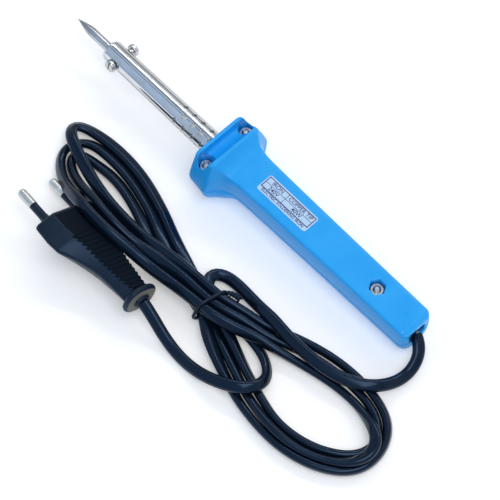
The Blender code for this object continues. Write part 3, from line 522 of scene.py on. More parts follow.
LOWER_1 = (
    (-42, 55.6, 2.6, 70), (-49, 58.2, 2.2, 70), (-56.5, 60.9, 2.2, 65), (-64.5, 64.2, 2.4, 50),
    (-72.5, 67.5, 2.5, 40), (-80.5, 70.3, 2.6, 25), (-89.5, 72.1, 2.6, 20), (-98, 72.9, 2.6, 15),
    (-107, 72.7, 2.6, 15), (-116, 70.9, 2.6, 15), (-124, 67.8, 2.6, 15), (-130.5, 64, 2.6, 15),
    (-135.4, 59.6, 2.6, 15), (-138, 54.6, 2.6, 10), (-138.4, 49, 2.7, 0), (-137, 43, 2.7, -5),
    (-133.6, 37.8, 2.7, -10), (-129, 33.9, 2.6, -20), (-123.5, 31.2, 2.6, -20), (-117.5, 29.5, 2.6, -20),
    (-111.5, 28.7, 2.6, -20), (-104, 28.6, 2.6, -20), (-94, 29.6, 2.6, -20), (-82.5, 32.3, 2.8, -20),
    (-73, 35.7, 3.6, 0), (-64.5, 39.2, 5, 30), (-56, 42.8, 7.6, 45), (-48.5, 45.6, 9.3, 30))
UPPER_A_LEFT = (
    (-41, 46.9, 9.4, 30), (-33, 47.5, 9.3, 35), (-22.5, 48.2, 9, 60), (-13, 48.7, 8.4, 75),
    (-5, 48.9, 7.2, 60), (2, 48.8, 6.2, 50), (8.5, 48.5, 5.6, 50), (16, 48, 5.4, 55), (23, 47.4, 5.6, 60),
    (29, 46.6, 6.4, 65), (35.5, 45.3, 7.2, 70), (42.5, 43.3, 7.6, 75), (50, 40.8, 7.6, 75),
    (54.5, 38.9, 7, 70), (58, 36.6, 5.6, 60))
UPPER_A_RIGHT = (
    (60.2, 34.2, 4.8, 50), (59.4, 31.8, 4.2, 45), (55.5, 29.8, 3.2, 50), (49.5, 28.4, 2.8, 65),
    (43, 27.8, 2.6, 70), (36.5, 27.6, 2.6, 70), (29.5, 27.7, 2.6, 70), (22.5, 28.5, 2.6, 65),
    (15.5, 30.1, 2.6, 60), (8.5, 32.4, 2.5, 60), (1.5, 35.2, 2.4, 60), (-6, 38.4, 2.3, 60),
    (-16, 42.2, 2, 80), (-25.5, 45.2, 2, 85), (-33, 46.8, 2, 90), (-42, 47.6, 2, 90))
TO_PLUG = (
    (-54, 48, 2.2, 80), (-60.5, 47.4, 2.4, 60), (-68, 47.6, 2.6, 40), (-75, 49.6, 2.7, 30),
    (-80.4, 52.8, 3, 25), (-83.6, 57.2, 4.8, 30), (-84.3, 62, 7.2, 45), (-82, 66.4, 8.2, 60),
    (-77, 70, 8.2, 65), (-70.5, 72.6, 7, 55), (-62.5, 74.2, 4.6, 45), (-53.5, 74.6, 2.9, 40),
    (-46, 74.2, 3.4, 45), (-38.5, 73.2, 5.4, 50), (-32.5, 72, 7.8, 55), (-28, 71.3, 9.8, 60),
    (-25.2, 70.95, 10.5, 60))
CORD_RUNS = (FROM_HANDLE, LOWER_3, UPPER_C_LEFT, UPPER_C_RIGHT, LOWER_2, UPPER_B_LEFT, UPPER_B_RIGHT, LOWER_1,
             UPPER_A_LEFT, UPPER_A_RIGHT, TO_PLUG)


# x from the plug's face (minus is behind it), half width, half width of its flats, half thickness
PLUG_TABLE = np.array((
    (0, 16.6, 9.3, 5.1), (-0.35, 17.3, 9.7, 5.8), (-1, 17.75, 9.95, 6.25), (-1.8, 17.9, 10, 6.4),
    (-9, 18.5, 10.5, 6.5), (-15, 18, 9.5, 6.4), (-16.8, 17, 8.8, 6.4), (-18.5, 15.6, 8.2, 6.3),
    (-21, 13.8, 7.5, 6.1), (-24.6, 11.8, 6.6, 5.7), (-28.5, 9.9, 5.8, 5.3), (-32.7, 8.7, 5, 5),
    (-40, 8.1, 4, 4.8), (-46, 8, 3.1, 4.8), (-48.6, 8.1, 2.7, 4.9)))


def plug_sizes(x):
    """Half width, half width of the flats and half thickness of the plug's section, by x behind its face."""
    return [np.interp(-x, -PLUG_TABLE[:, 0], PLUG_TABLE[:, k]) for k in (1, 2, 3)]


def path_lengths(rows):
    """Distance along a path at each row, measured in the first three columns."""
    return np.concatenate([[0], np.cumsum(np.linalg.norm(np.diff(rows[:, :3], axis=0), axis=1))])


def at_lengths(rows, lengths, want):
    return np.column_stack([np.interp(want, lengths, column) for column in rows.T])


def catmull(points, step):
    """Evenly spaced rows on a Catmull-Rom curve."""
    p = np.vstack([2 * points[0] - points[1], points, 2 * points[-1] - points[-2]])
    t = np.linspace(0, 1, 12, endpoint=False)[:, None]
    fine = []
    for a, b, c, d in zip(p, p[1:], p[2:], p[3:]):
        fine.append(0.5 * (2 * b + (c - a) * t + (2 * a - 5 * b + 4 * c - d) * t ** 2
                           + (3 * b - a - 3 * c + d) * t ** 3))
    fine = np.vstack(fine + [p[-2][None]])
    lengths = path_lengths(fine)
    return at_lengths(fine, lengths, np.linspace(0, lengths[-1], round(lengths[-1] / step) + 1))


def blur(rows, steps):
    """Averages neighbours, keeping the first and last rows."""
    for _ in range(steps):
        inner = 0.25 * rows[:-2] + 0.5 * rows[1:-1] + 0.25 * rows[2:]
        rows = np.vstack([rows[:1], inner, rows[-1:]])
    return rows


def section_axes(route, flat):
    """Unit width and thickness directions of the flat section along a route."""
    tangent = np.gradient(route, axis=0)
    tangent /= np.linalg.norm(tangent, axis=1)[:, None]
    side = np.cross(tangent, (0.0, 0.0, 1.0))
    side /= np.maximum(np.linalg.norm(side, axis=1), 1e-6)[:, None]
    up = np.cross(side, tangent)
    angle = np.radians(flat)[:, None]
    width = np.cos(angle) * up + np.sin(angle) * side
    return width, np.cross(tangent, width)


def reach(direction, width):
    """How far the section reaches along a direction: a flat oval with round ends."""
    return CORD_THICK / 2 + (CORD_WIDTH - CORD_THICK) / 2 * np.abs(np.sum(direction * width, axis=1))


def plug_push(route, size):
    """Moves points that are within a size of the plug body out through its nearest long face."""
    turn = np.array(PLUG.to_3x3())
    local = (route - np.array(PLUG.translation) / MM) @ turn
    x, y, z = local.T
    wide, flat, high = plug_sizes(x)
    slope = np.arctan2(wide - flat, high)
    through_flat = high - np.abs(z)
    through_slope = (wide - np.abs(y)) * np.cos(slope) - np.abs(z) * np.sin(slope)
    depth = np.stack([through_flat, through_slope]) + size
    beside = (x < 3.0) & (x > -50.0)
    inside = beside & (depth.min(axis=0) > 0)
    pick = depth.argmin(axis=0)
    push = np.zeros_like(local)
    push[:, 2] = np.where(pick == 0, np.sign(z) * depth[0], np.sign(z) * depth[1] * np.sin(slope))
    push[:, 1] = np.where(pick == 1, np.sign(y) * depth[1] * np.cos(slope), 0)
    return np.where(inside[:, None], push, 0) @ turn.T


SQUEEZE = 0.985               # strands that are tied together press into each other a little


def strand_push(route, width, first, second):
    """How far to move points on neighbouring strands so that their sections only touch."""
    delta = route[first] - route[second]
    away = np.linalg.norm(delta, axis=1)
    unit = delta / np.maximum(away, 1e-6)[:, None]
    need = (reach(unit, width[first]) + reach(unit, width[second])) * SQUEEZE
    push = np.maximum(0.0, need - away)
    shift, weight = np.zeros_like(route), np.zeros(len(route))
    move = unit * (0.5 * push)[:, None]
    np.add.at(shift, first, move)
    np.add.at(shift, second, -move)
    np.add.at(weight, first, push > 0)
    np.add.at(weight, second, push > 0)
    return shift / np.maximum(1.0, weight * 0.6)[:, None]


def settle(laid, flat, steps=260, calm_steps=60):
    """Lets the runs push each other apart, sink onto what is below and stay near where they were laid. The
    tied part is drawn in to the width of the tie, and both ends stay where they are."""
    route = laid.copy()
    spacing = np.linalg.norm(np.diff(route, axis=0), axis=1).mean()
    own_stretch, neighbour = 11.0, 8.0
    skip = int(round(own_stretch / spacing))
    up = np.tile((0.0, 0.0, 1.0), (len(route), 1))
    tied = (np.abs(laid[:, 0] - TIE_X) < 3.5) & (np.abs(laid[:, 1] - 50.0) < 12.0)
    for step in range(steps):
        width, _ = section_axes(route, flat)
        if step % 8 == 0:
            gap = route[:, None, :] - route[None, :, :]
            near = np.einsum("ijk,ijk->ij", gap, gap) < neighbour ** 2
            first, second = np.nonzero(np.triu(near, skip))
        route += strand_push(route, width, first, second)
        half = reach(up, width)
        route += 0.6 * plug_push(route, half * 0.55 + 0.9)
        sink, pull = (0.0, 0.012) if step > steps - calm_steps else (0.03, 0.03)
        route[:, 2] -= sink
        route[:, :2] += pull * (laid[:, :2] - route[:, :2])
        route[:, 2] += pull * 0.6 * (laid[:, 2] - route[:, 2])
        route[tied, 1] += 0.35 * (np.clip(route[tied, 1], TIE_LOW, TIE_HIGH) - route[tied, 1])
        offset = route - laid
        bend = 0.5 * (np.roll(offset, 1, axis=0) + np.roll(offset, -1, axis=0)) - offset
        bend[0] = bend[-1] = 0
        route += 0.5 * bend
        route[:, 2] = np.maximum(route[:, 2], half + 0.05)
        route[:3], route[-3:] = laid[:3], laid[-3:]
    return route


def oval_section(count=28):
    """Flat oval: two half circles joined by straight sides, as along width and along thickness."""
    radius, straight = CORD_THICK / 2, (CORD_WIDTH - CORD_THICK) / 2
    turns = [tau * (k + 0.5) / count for k in range(count)]
    ring = [(cos(turn), sin(turn)) for turn in turns]
    return np.array([(copysign(straight, c) + radius * c, radius * s) for c, s in ring])


def make_cord():
    laid = np.array([p for run in CORD_RUNS for p in run], float)
    laid = blur(catmull(laid, 2.5), 3)
    flat = blur(laid[:, 3:4], 6)[:, 0]
    settled = settle(laid[:, :3], flat)
    rows = catmull(np.column_stack([blur(settled, 1), flat]), 1.5)
    route, flat = rows[:, :3], rows[:, 3]
    width, thick = section_axes(route, flat)
    ring = oval_section()
    verts = (route[:, None] + ring[None, :, 0:1] * width[:, None] + ring[None, :, 1:2] * thick[:, None])
    verts[:, :, 2] = np.maximum(verts[:, :, 2], 0.02)
    faces = ring_faces(len(route), len(ring))
    cord = add_mesh("flex", verts.reshape(-1, 3).tolist(), faces, "cord_pvc", angle=60.0)
    on_body(cord, "root", "cord_handle_tail", "cord_hank", "cord_over_plug", "cord_plug_tail")
    return cord, route, verts


def tie_loop(near, wire):
    """The wire's closed curve in Y and Z: it goes tight round the points of the strands near it."""
    turns = np.radians(np.arange(0, 360, 4))
    direct = np.column_stack([np.cos(turns), np.sin(turns)])
    support = (near @ direct.T).max(axis=0) + wire * 0.9
    corners = np.stack([direct, np.roll(direct, -1, axis=0)], axis=1)
    limits = np.stack([support, np.roll(support, -1)], axis=1)
    loop = np.linalg.solve(corners, limits[:, :, None])[:, :, 0]
    loop[:, 1] = np.maximum(loop[:, 1], wire)
    closed = np.vstack([loop, loop[:1]])
    lengths = path_lengths(closed)
    loop = at_lengths(closed, lengths, np.linspace(0, lengths[-1], 90, endpoint=False))
    for _ in range(3):
        loop = 0.25 * np.roll(loop, 1, axis=0) + 0.5 * loop + 0.25 * np.roll(loop, -1, axis=0)
    return loop


def tie_tail(base, side):
    """One of the two ends twisted together, as a helix that opens at its tip."""
    tail = []
    for t in np.linspace(0, 1, 46):
        turn = tau * 2.6 * t + pi * side
        spread = 0.72 * min(1.0, 4 * t) * (1.0 + 1.5 * max(0.0, t - 0.8))
        y = base[1] - 2.2 * t - 0.5 * sin(pi * t) + spread * cos(turn)
        tail.append((base[0] - 6.4 * t, y, base[2] + 0.4 - 0.6 * t + spread * sin(turn)))
    return np.array(tail)


def make_tie(verts):
    """A thin wire tie pulled round the hank's waist, with its ends twisted together."""
    wire = 0.75
    near = verts[np.abs(verts[:, :, 0] - TIE_X) < 1.0]
    near = near[(near[:, 1] > 38) & (near[:, 1] < 64)][:, 1:]
    loop = tie_loop(near, wire)
    lean = 0.18 * (loop[:, 0] - near[:, 0].mean())
    ring = np.column_stack([TIE_X + lean, loop])
    points, faces = sweep(ring, wire, 10, closed=True)
    base = min(ring, key=lambda place: place[1] - 0.15 * place[2])
    for side in (0, 1):
        more, more_faces = sweep(tie_tail(base, side), wire * 0.85, 8, closed=False)
        faces += [[i + len(points) for i in face] for face in more_faces]
        points += more
    tie = add_mesh("tie_wire", points, faces, "plug_pvc", angle=60.0)
    on_body(tie, "root", "twist_tie")
    return tie


def sweep(route, radius, sides, closed):
    """Points and faces of a round wire along a route."""
    tangent = np.roll(route, -1, axis=0) - np.roll(route, 1, axis=0) if closed else np.gradient(route, axis=0)
    tangent /= np.linalg.norm(tangent, axis=1)[:, None]
    one = np.cross(tangent, (1.0, 0.0, 0.0) if closed else (0.0, 0.3, 1.0))
    one /= np.linalg.norm(one, axis=1)[:, None]
    two = np.cross(tangent, one)
    turns = (np.arange(sides) * tau / sides)[None, :, None]
    points = route[:, None] + radius * (np.cos(turns) * one[:, None] + np.sin(turns) * two[:, None])
    return points.reshape(-1, 3).tolist(), ring_faces(len(route), sides, closed)


# ---------------------------------------------------------------- handle

# x, half width at the parting, half width at the top, height, top fillet, underside depth, power, belly
STATIONS = (
    (5.2, 16.2, 12.8, 13.6, 2.4, 12, 2.3, 0), (4.8, 16.8, 13.4, 14.1, 3, 12.9, 2.3, 0),
    (3.9, 17.1, 13.6, 14.3, 3, 13.3, 2.3, 0), (0, 17.6, 13.8, 14.7, 2.6, 13.5, 2.3, 0),
    (-4.2, 18.2, 13.9, 15.1, 2, 13.4, 2.3, 0), (-5.2, 18.4, 13.8, 15.2, 1.9, 13.2, 2.3, 0),
    (-6, 18.3, 13.2, 14.3, 1.9, 12.8, 2.3, 0.1), (-6.9, 17.2, 12.6, 13.2, 1.9, 12.3, 2.3, 0.5),
    (-7.6, 15.9, 12.1, 12.5, 1.8, 11.9, 2.3, 1.2), (-8.6, 14.1, 11.3, 11.6, 1.7, 11.4, 2.2, 1.9),
    (-10, 12.6, 10.6, 10.8, 1.6, 10.9, 2.2, 2.2), (-11.5, 11.7, 10.2, 10.2, 1.5, 10.4, 2.1, 2),
    (-13.4, 11, 9.9, 9.9, 1.4, 10.1, 2.1, 0.9), (-16, 10.2, 9.6, 9.8, 1.3, 9.8, 2.1, 0.1),
    (-20, 9.8, 9.4, 9.8, 1.3, 9.7, 2.1, 0), (-45, 9.3, 8.9, 9.8, 1.3, 9.65, 2.1, 0),
    (-80, 8.9, 8.5, 9.8, 1.3, 9.65, 2.1, 0), (-110.3, 8.6, 8.2, 9.8, 1.3, 9.65, 2.1, 0))
# x, half width and height of the room inside
CAVITY = (
    (2.6, 6.2, 6.2), (-7, 6.2, 6.2), (-11, 7.4, 7.6), (-14, 7.6, 7.8), (-45, 7.4, 7.9), (-80, 7, 7.9),
    (-109.9, 6.6, 7.6), (-111.4, 5.8, 6.9))
PARTING = 0.15                # each shell stops this far from the joint between them
GUARD_SCREW_Y, REAR_SCREW_X, CLAMP_SCREW_X, CLAMP_SCREW_Y = 11.4, -89.6, -104, 4.7
BOLT_HOLE, HEAD_HOLE, BOSS, NUT_FLATS = 1.8, 3.05, 3.0, 6.4     # radii, and the pocket across its flats
HEAD_RADIUS, HEAD_HEIGHT, BOLT_RADIUS = 2.75, 2.2, 1.5


def smooth_stations():
    """Close stations by a cubic that doesn't overshoot between the given ones, and the rounded rear end."""
    table = np.array(STATIONS)
    x, values = -table[:, 0], table[:, 1:]
    slope = np.diff(values, axis=0) / np.diff(x)[:, None]
    before, after = slope[:-1], slope[1:]
    middle = np.where(before * after > 0, 2 * before * after / (before + after + 1e-12), 0)
    ends = np.vstack([slope[:1], middle, slope[-1:]])
    want = np.concatenate([np.linspace(-5.2, -3.9, 7), np.arange(-3.4, 5.0, 0.9), np.linspace(5.2, 22.0, 48),
                           np.arange(25.0, 110.0, 4.0), [110.3]])
    out = []
    for place in want:
        k = min(len(x) - 2, max(0, int(np.searchsorted(x, place, side="right")) - 1))
        h = x[k + 1] - x[k]
        t = (place - x[k]) / h
        row = ((1 + 2 * t) * (1 - t) ** 2 * values[k] + t * (1 - t) ** 2 * h * ends[k]
               + t * t * (3 - 2 * t) * values[k + 1] + t * t * (t - 1) * h * ends[k + 1])
        out.append((-place, *row))
    x0, side, top, height, fillet, depth, power, belly = out[-1]
    radius, arc, steps = 3.0, radians(80), 8
    for k in range(1, steps + 1):
        turn = arc * k / steps
        behind, shrink = radius * sin(turn) / sin(arc), radius * (1 - cos(turn))
        out.append((x0 - behind, side - shrink, top - shrink, height - shrink, fillet, depth - shrink, power,
                    belly))
    return out


def quarter(steps):
    return [pi / 2 * k / steps for k in range(steps + 1)]


def mirrored(half, middle=()):
    """A ring from its +Y half and its point on the middle line, where it has one."""
    return [*half, *middle, *((x, -y, z) for x, y, z in reversed(half))]


def upper_ring(x, side, top, height, fillet):
    inner, shoulder, half = top - fillet, height - fillet, []
    for t in (k / 6 for k in range(6)):
        y = side + (top - side) * t + 0.25 * sin(pi * t)
        half.append((x, y, PARTING + (shoulder - PARTING) * t))
    half += [(x, inner + fillet * cos(turn), shoulder + fillet * sin(turn)) for turn in quarter(8)]
    half += [(x, inner * share, height) for share in (0.75, 0.5, 0.25)]
    return mirrored(half, [(x, 0.0, height)])


def lower_ring(x, side, depth, power, belly):
    ring = []
    for k in range(33):
        turn = pi * k / 32
        swell = belly * max(0.0, sin(2 * min(turn, pi - turn))) ** 0.7
        y = copysign(abs(cos(turn)) ** (2 / power) * side + swell, cos(turn))
        ring.append((x, y, -PARTING - (depth - PARTING) * sin(turn) ** (2 / power)))
    return ring


def room_ring(x, side, height, sign, base):
    fillet = 2.6 if sign > 0 else 5.5
    inner, shoulder = side - fillet, height - fillet
    half = [(x, side, base)]
    half += [(x, inner + fillet * cos(turn), shoulder + fillet * sin(turn)) for turn in quarter(4)]
    return [(x, y, sign * z) for x, y, z in mirrored(half)]


def carve(shell, outline, low, high, operation="DIFFERENCE"):
    """Cuts an upright prism out of a shell, or joins it on."""
    combine(shell, prism("tool", outline, low, high, IRON), operation)


def room_and_ribs(shell, sign):
    """The room inside, and the two ribs that hold the barrel's flange."""
    combine(shell, loft("room", [room_ring(x, s, h, sign, -1.0) for x, s, h in CAVITY], None, IRON))
    for middle in (-13.6, -18.0):
        rings = [room_ring(x, 8.1, 8.3, sign, PARTING) for x in (middle - 0.8, middle + 0.8)]
        combine(shell, loft("rib", rings, None, IRON), "UNION")


def barrel_way(shell):
    combine(shell, turned("way", ((6.2, 0), (6.2, 5.55), (-19.8, 5.55), (-19.8, 0)), None, IRON, 64))


def cord_opening(shell, base, shoulder, top):
    """The opening for the flex in the rear wall, a slot with bevelled corners."""
    half = ((4.5, base), (4.5, shoulder), (3.4, top))
    outline = [(-y, z) for y, z in half] + list(reversed(half))
    combine(shell, loft("opening", [[(x, y, z) for y, z in outline] for x in (-114.3, -110.3)], None, IRON))


def trough():
    """The groove across the guard: steep in front, rising in a curve to the ridge."""
    ends = ((13.9, -0.05), (13.3, 0.32), (12.5, 0.66), (11.4, 0.88), (9.8, 1.0), (5, 1.0))
    curve = ((0, 1.0), (0.2, 0.35), (0.5, 0.15), (0.9, 0.06), (1.5, 0.01), (2.2, 0.0), (3.0, 0.04),
             (3.8, 0.12), (4.5, 0.23), (5.2, 0.38), (5.9, 0.57), (6.5, 0.8))
    rings = []
    for y, share in [(-y, share) for y, share in ends] + [(0, 1.0)] + list(reversed(ends)):
        floor = 14.2 - 3.8 * share
        front = 3.3 - 0.6 * (1 - share)
        ring = [(front - back, floor + 4.6 * rise) for back, rise in curve] + [(-4.6, floor + 5.5)]
        rings.append([(x, y, z) for x, z in [(front, 22.0), *ring, (-4.6, 22.0)]])
    return loft("trough", rings, None, IRON)


def make_upper_shell():
    rings = [upper_ring(*row[:5]) for row in smooth_stations()]
    shell = loft("handle_top", rings, "blue_shell", IRON)
    room_and_ribs(shell, 1)
    carve(shell, circle(BOSS, 32, REAR_SCREW_X), PARTING, 8.6, "UNION")
    carve(shell, hexagon(9.0, REAR_SCREW_X), 3.6, 8.6, "UNION")
    barrel_way(shell)
    combine(shell, trough())
    for y in (GUARD_SCREW_Y, -GUARD_SCREW_Y):
        carve(shell, circle(3.5, 40, 0, y), 7.2, 18)
        carve(shell, hexagon(NUT_FLATS, 0, y), 4.2, 7.9)
        carve(shell, circle(BOLT_HOLE, 32, 0, y), -2, 5.2)
    carve(shell, hexagon(NUT_FLATS, REAR_SCREW_X), 4.8, 12)
    carve(shell, circle(BOLT_HOLE, 32, REAR_SCREW_X), -2, 5.8)
    cord_opening(shell, -1, 4.2, 5.4)
    bake(shell, soften=(0.34, 4))
    on_body(shell, "root", "upper_shell")


def make_lower_shell():
    rings = [lower_ring(row[0], row[1], *row[5:]) for row in smooth_stations()]
    shell = loft("handle_bottom", rings, "blue_shell", IRON)
    room_and_ribs(shell, -1)
    carve(shell, circle(BOSS, 32, REAR_SCREW_X), -8.1, -0.3, "UNION")
    carve(shell, circle(4.2, 40, REAR_SCREW_X), -8.1, -5.1, "UNION")
    for y in (CLAMP_SCREW_Y, -CLAMP_SCREW_Y):
        carve(shell, circle(1.5, 24, CLAMP_SCREW_X, y), -6.7, 1.9, "UNION")
    barrel_way(shell)
    for side in (1, -1):
        carve(shell, circle(HEAD_HOLE, 40, 0, side * GUARD_SCREW_Y), -16, -7.3)
        carve(shell, circle(BOLT_HOLE, 32, 0, side * GUARD_SCREW_Y), -8.6, 2)
        carve(shell, circle(0.95, 20, CLAMP_SCREW_X, side * CLAMP_SCREW_Y), -5.6, 4)
    carve(shell, circle(HEAD_HOLE, 40, REAR_SCREW_X), -16, -6.6)
    carve(shell, circle(BOLT_HOLE, 32, REAR_SCREW_X), -7.9, 2)
    cord_opening(shell, 1, -1.4, -2.5)
    combine(shell, prism("table", rectangle(200, 80, -50, 0), -20, 0.0))
    bake(shell, soften=(0.36, 4))
    on_body(shell, "root", "lower_shell")


# ---------------------------------------------------------------- fasteners

def thread(low, high, radius, pitch=0.5, depth=0.28):
    """Profile of a threaded stretch, as rings of a fine pitch."""
    points, z = [], low
    while z < high - pitch:
        points += [(z, radius - depth), (z + pitch * 0.3, radius), (z + pitch * 0.55, radius),
                   (z + pitch * 0.9, radius - depth)]
        z += pitch
    return points


def make_bolt(name, x, y, seat, tip, node):
    """A pan-head bolt with a cross slot, upright, its head below."""
    low, radius = seat - HEAD_HEIGHT, BOLT_RADIUS
    profile = [(low, 0), (low, 1.9), (low + 0.25, 2.4), (low + 0.8, HEAD_RADIUS), (seat - 0.1, HEAD_RADIUS),
               (seat, 2.65), (seat, radius), (-2.0, radius), *thread(-1.8, tip - 0.5, radius),
               (tip - 0.35, 1.35), (tip - 0.1, 1.0), (tip, 0.85), (tip, 0)]
    place = moved(IRON, x, y)
    bolt = turned(name, profile, "plated_steel", place, 40, "Z", 30)
    for turn in (20, 110):
        turned_place = place @ Matrix.Rotation(radians(turn), 4, "Z")
        combine(bolt, prism("slot", rectangle(3.2, 0.7), low - 1, low + 0.9, turned_place))
    bake(bolt, angle=30)
    on_body(bolt, "root", node)


def make_nut(name, x, y, top, node, turn):
    """A hexagon nut: the flats are cut by a cone, so its corners are rounded on top and below."""
    sides, base, half_flats, half_corners = 72, top - 2.4, 2.75, 3.175
    turns = [tau * k / sides for k in range(sides)]
    flats = [half_flats / cos(a % (pi / 3) - pi / 6) for a in turns]
    outside = ((base, 0.55), (base + 0.25, 0.12), (base + 0.5, 0.0), (top - 0.5, 0.0), (top - 0.25, 0.12),
               (top, 0.55))
    bore = ((top, 1.85), (top - 0.3, 1.55), (top - 0.45, 1.72), (base + 0.4, 1.72), (base, 1.85))
    sections = [(z, [min(flat, half_corners - inset) for flat in flats]) for z, inset in outside]
    sections += [(z, [radius] * sides) for z, radius in bore]
    rings = [[(r * cos(a), r * sin(a), z) for r, a in zip(radii, turns)] for z, radii in sections]
    place = moved(IRON, x, y) @ Matrix.Rotation(radians(turn), 4, "Z")
    nut = loft(name, rings, "plated_steel", place, 28, closed=True)
    on_body(nut, "root", node)


# ---------------------------------------------------------------- barrel and bit

BARREL_START, NOSE, BARREL_RADIUS, BARREL_REAR = 5.2, 72.3, 5.25, -22.0


def barrel_radius(x):
    """The barrel tapers from the guard to its nose."""
    return BARREL_RADIUS - 0.48 * min(1.0, max(0.0, (x - BARREL_START) / (NOSE - BARREL_START)))


def vents(rows):
    """Row, number in it, place along the barrel and angle round it. Odd rows are half a step nearer the
    guard."""
    pitch = 5.33
    for row in range(rows):
        for k in range(4):
            yield row, k, 10.9 - (pitch / 2 if row % 2 else 0.0) + k * pitch, radians(26.0 + 45 * row)


def true_normals(obj, tolerance=0.03):
    """Gives the long curved faces of the turned and drilled barrel the normals of the tube itself."""
    mesh = obj.data
    normals = [None] * len(mesh.loops)
    for poly in mesh.polygons:
        for loop in poly.loop_indices:
            co = mesh.vertices[mesh.loops[loop].vertex_index].co
            around = Vector((0, co.y, co.z))
            near = abs(around.length / MM - barrel_radius(co.x / MM)) < tolerance
            outwards = near and around.normalized().dot(poly.normal) > 0.9
            normals[loop] = tuple(around.normalized() if outwards else poly.normal)
    mesh.normals_split_custom_set(normals)


def screw_matrix(side):
    """On the barrel's axis at the clamp screw, with Z outwards along the screw."""
    word = "left" if side > 0 else "right"
    along = (middle_of(f"clamp_screw_{word}") - IRON.translation).dot(BARREL_AXIS)
    return placed(IRON.translation + BARREL_AXIS * along, BARREL_AXIS, JOINT_AXES[f"screw_{word}_out"])


def make_barrel():
    rn = barrel_radius(NOSE)
    nose = [(0, 2.4), (0, rn - 2.0), (0.1, rn - 1.4), (0.35, rn - 0.85), (0.75, rn - 0.4), (1.3, rn - 0.12),
            (2.0, rn)]
    outside = [(NOSE - back, radius) for back, radius in nose]
    outside += [(x, barrel_radius(x)) for x in np.linspace(NOSE - 4, BARREL_START, 52)]
    outside += [(BARREL_REAR, BARREL_RADIUS)]
    inside = [(BARREL_REAR, 4.85), (BARREL_START, 4.85), (NOSE - 2.1, rn - 0.4), (NOSE - 0.8, rn - 1.6),
              (NOSE - 0.6, 2.4)]
    barrel = turned("barrel_tube", outside + inside, "polished_steel", IRON, 96)
    for _, _, x, turn in vents(4):
        place = moved(IRON, x) @ Matrix.Rotation(turn - pi / 2, 4, "X")
        combine(barrel, prism("vent", circle(1.15, 28), -8, 8, place))
    combine(barrel, prism("screw_hole", circle(1.8, 32), -8, 8, screw_matrix(1)))
    bake(barrel)
    # The inward faces and the vent-hole walls take the dark look: heat oxide inside the tube, and painted shade in
    # the vent holes.
    barrel.data.materials.append(INSIDE_OXIDE_AND_SHADE)
    for poly in barrel.data.polygons:
        around = Vector((0, poly.center.y, poly.center.z)).normalized()
        if poly.center.x / MM < NOSE - 4.3 and around.dot(poly.normal) < 0.5:
            poly.material_index = 1
    true_normals(barrel)
    on_body(barrel, "root", "barrel")
    for row, k, x, turn in vents(8):
        make_vent_lip(f"vent_lip_{row}_{k}", x, turn)


def make_vent_lip(name, x, turn):
    """The burr that the punch left round a vent: a thin ring that follows the barrel's curve."""
    radius, rings = barrel_radius(x), []
    for i in range(28):
        a = tau * i / 28
        ring = []
        for r, lift in ((1.06, -0.30), (1.08, 0.02), (1.20, 0.05), (1.30, -0.02)):
            angle, out = turn + r * sin(a) / radius, radius + lift
            ring.append((x + r * cos(a), out * cos(angle), out * sin(angle)))
        rings.append(ring)
    on_body(loft(name, rings, "polished_steel", IRON, 50, closed=True), "root")


def make_clamp_screw(name, side, head_low, node):
    """A slotted screw on the barrel's side; its node and its body have the same name."""
    top, radius = head_low + HEAD_HEIGHT, BOLT_RADIUS
    head = [(head_low, 1.4), (head_low, HEAD_RADIUS), (top - 0.55, HEAD_RADIUS), (top, 2.2), (top, 0)]
    profile = [(2.4, 0), (2.4, 1.1), (2.8, radius), *thread(2.9, head_low - 0.1, radius), *rounded(head, 0.3)]
    place = screw_matrix(side)
    screw = turned(name, profile, "plated_steel", place, 48, "Z", 32)
    combine(screw, prism("slot", rectangle(0.8, 7), top - 1.0, top + 1, place))
    bake(screw, angle=32)
    on_body(screw, node, node)


def make_bit():
    """A round rod whose point narrows in a curve to a blunt tip."""
    profile = [(22.0, 0), (22.0, 1.75), (22.3, 2.05), (83.2, 2.05)]
    profile += [(83.6 + 8.7 * share, 2.05 * (1 - share ** 1.3)) for share in (k / 15 for k in range(15))]
    profile += [(92.12, 0.26), (92.22, 0.18), (92.28, 0.09), (92.3, 0)]
    on_body(turned("bit_rod", profile, "bit_plate", IRON, 64, angle=40), "bit", "bit")


# ---------------------------------------------------------------- label

INK_Z = 9.975
FRAME_LEFT, FRAME_RIGHT, FRAME_LOW, FRAME_HIGH = -50.4, -23.4, -3.4, 2.1


def stroke(points, width):
    """A flat printed line along points, as verts and faces."""
    verts, faces = [], []
    for start, end in zip(points, points[1:]):
        start, end = Vector((*start, INK_Z)), Vector((*end, INK_Z))
        ahead = (end - start).normalized() * width / 2
        left = Vector((-ahead.y, ahead.x, 0))
        i = len(verts)
        verts += [start + left - ahead, end + left + ahead, end - left + ahead, start - left - ahead]
        faces.append([i + 3, i + 2, i + 1, i])
    return verts, faces


def make_film():
    """The film: a thin sheet with rounded corners."""
    x0, x1, y0, y1, r = -51.2, -22.7, -4.2, 4.4, 1.0
    outline = []
    centres = ((x1 - r, y1 - r), (x0 + r, y1 - r), (x0 + r, y0 + r), (x1 - r, y0 + r))
    for k, (cx, cy) in enumerate(centres):
        turns = [pi / 2 * k + turn for turn in quarter(8)]
        outline += [(cx + r * cos(a), cy + r * sin(a)) for a in turns]
    inset = [(x + (x1 + x0 - 2 * x) * 0.004, y + (y1 + y0 - 2 * y) * 0.012) for x, y in outline]
    rings = [[(x, y, z) for x, y in ring] for ring, z in ((outline, 9.78), (outline, 9.93), (inset, 9.96))]
    on_body(loft("label_sheet", rings, "label_film", IRON), "root", "rating_label")


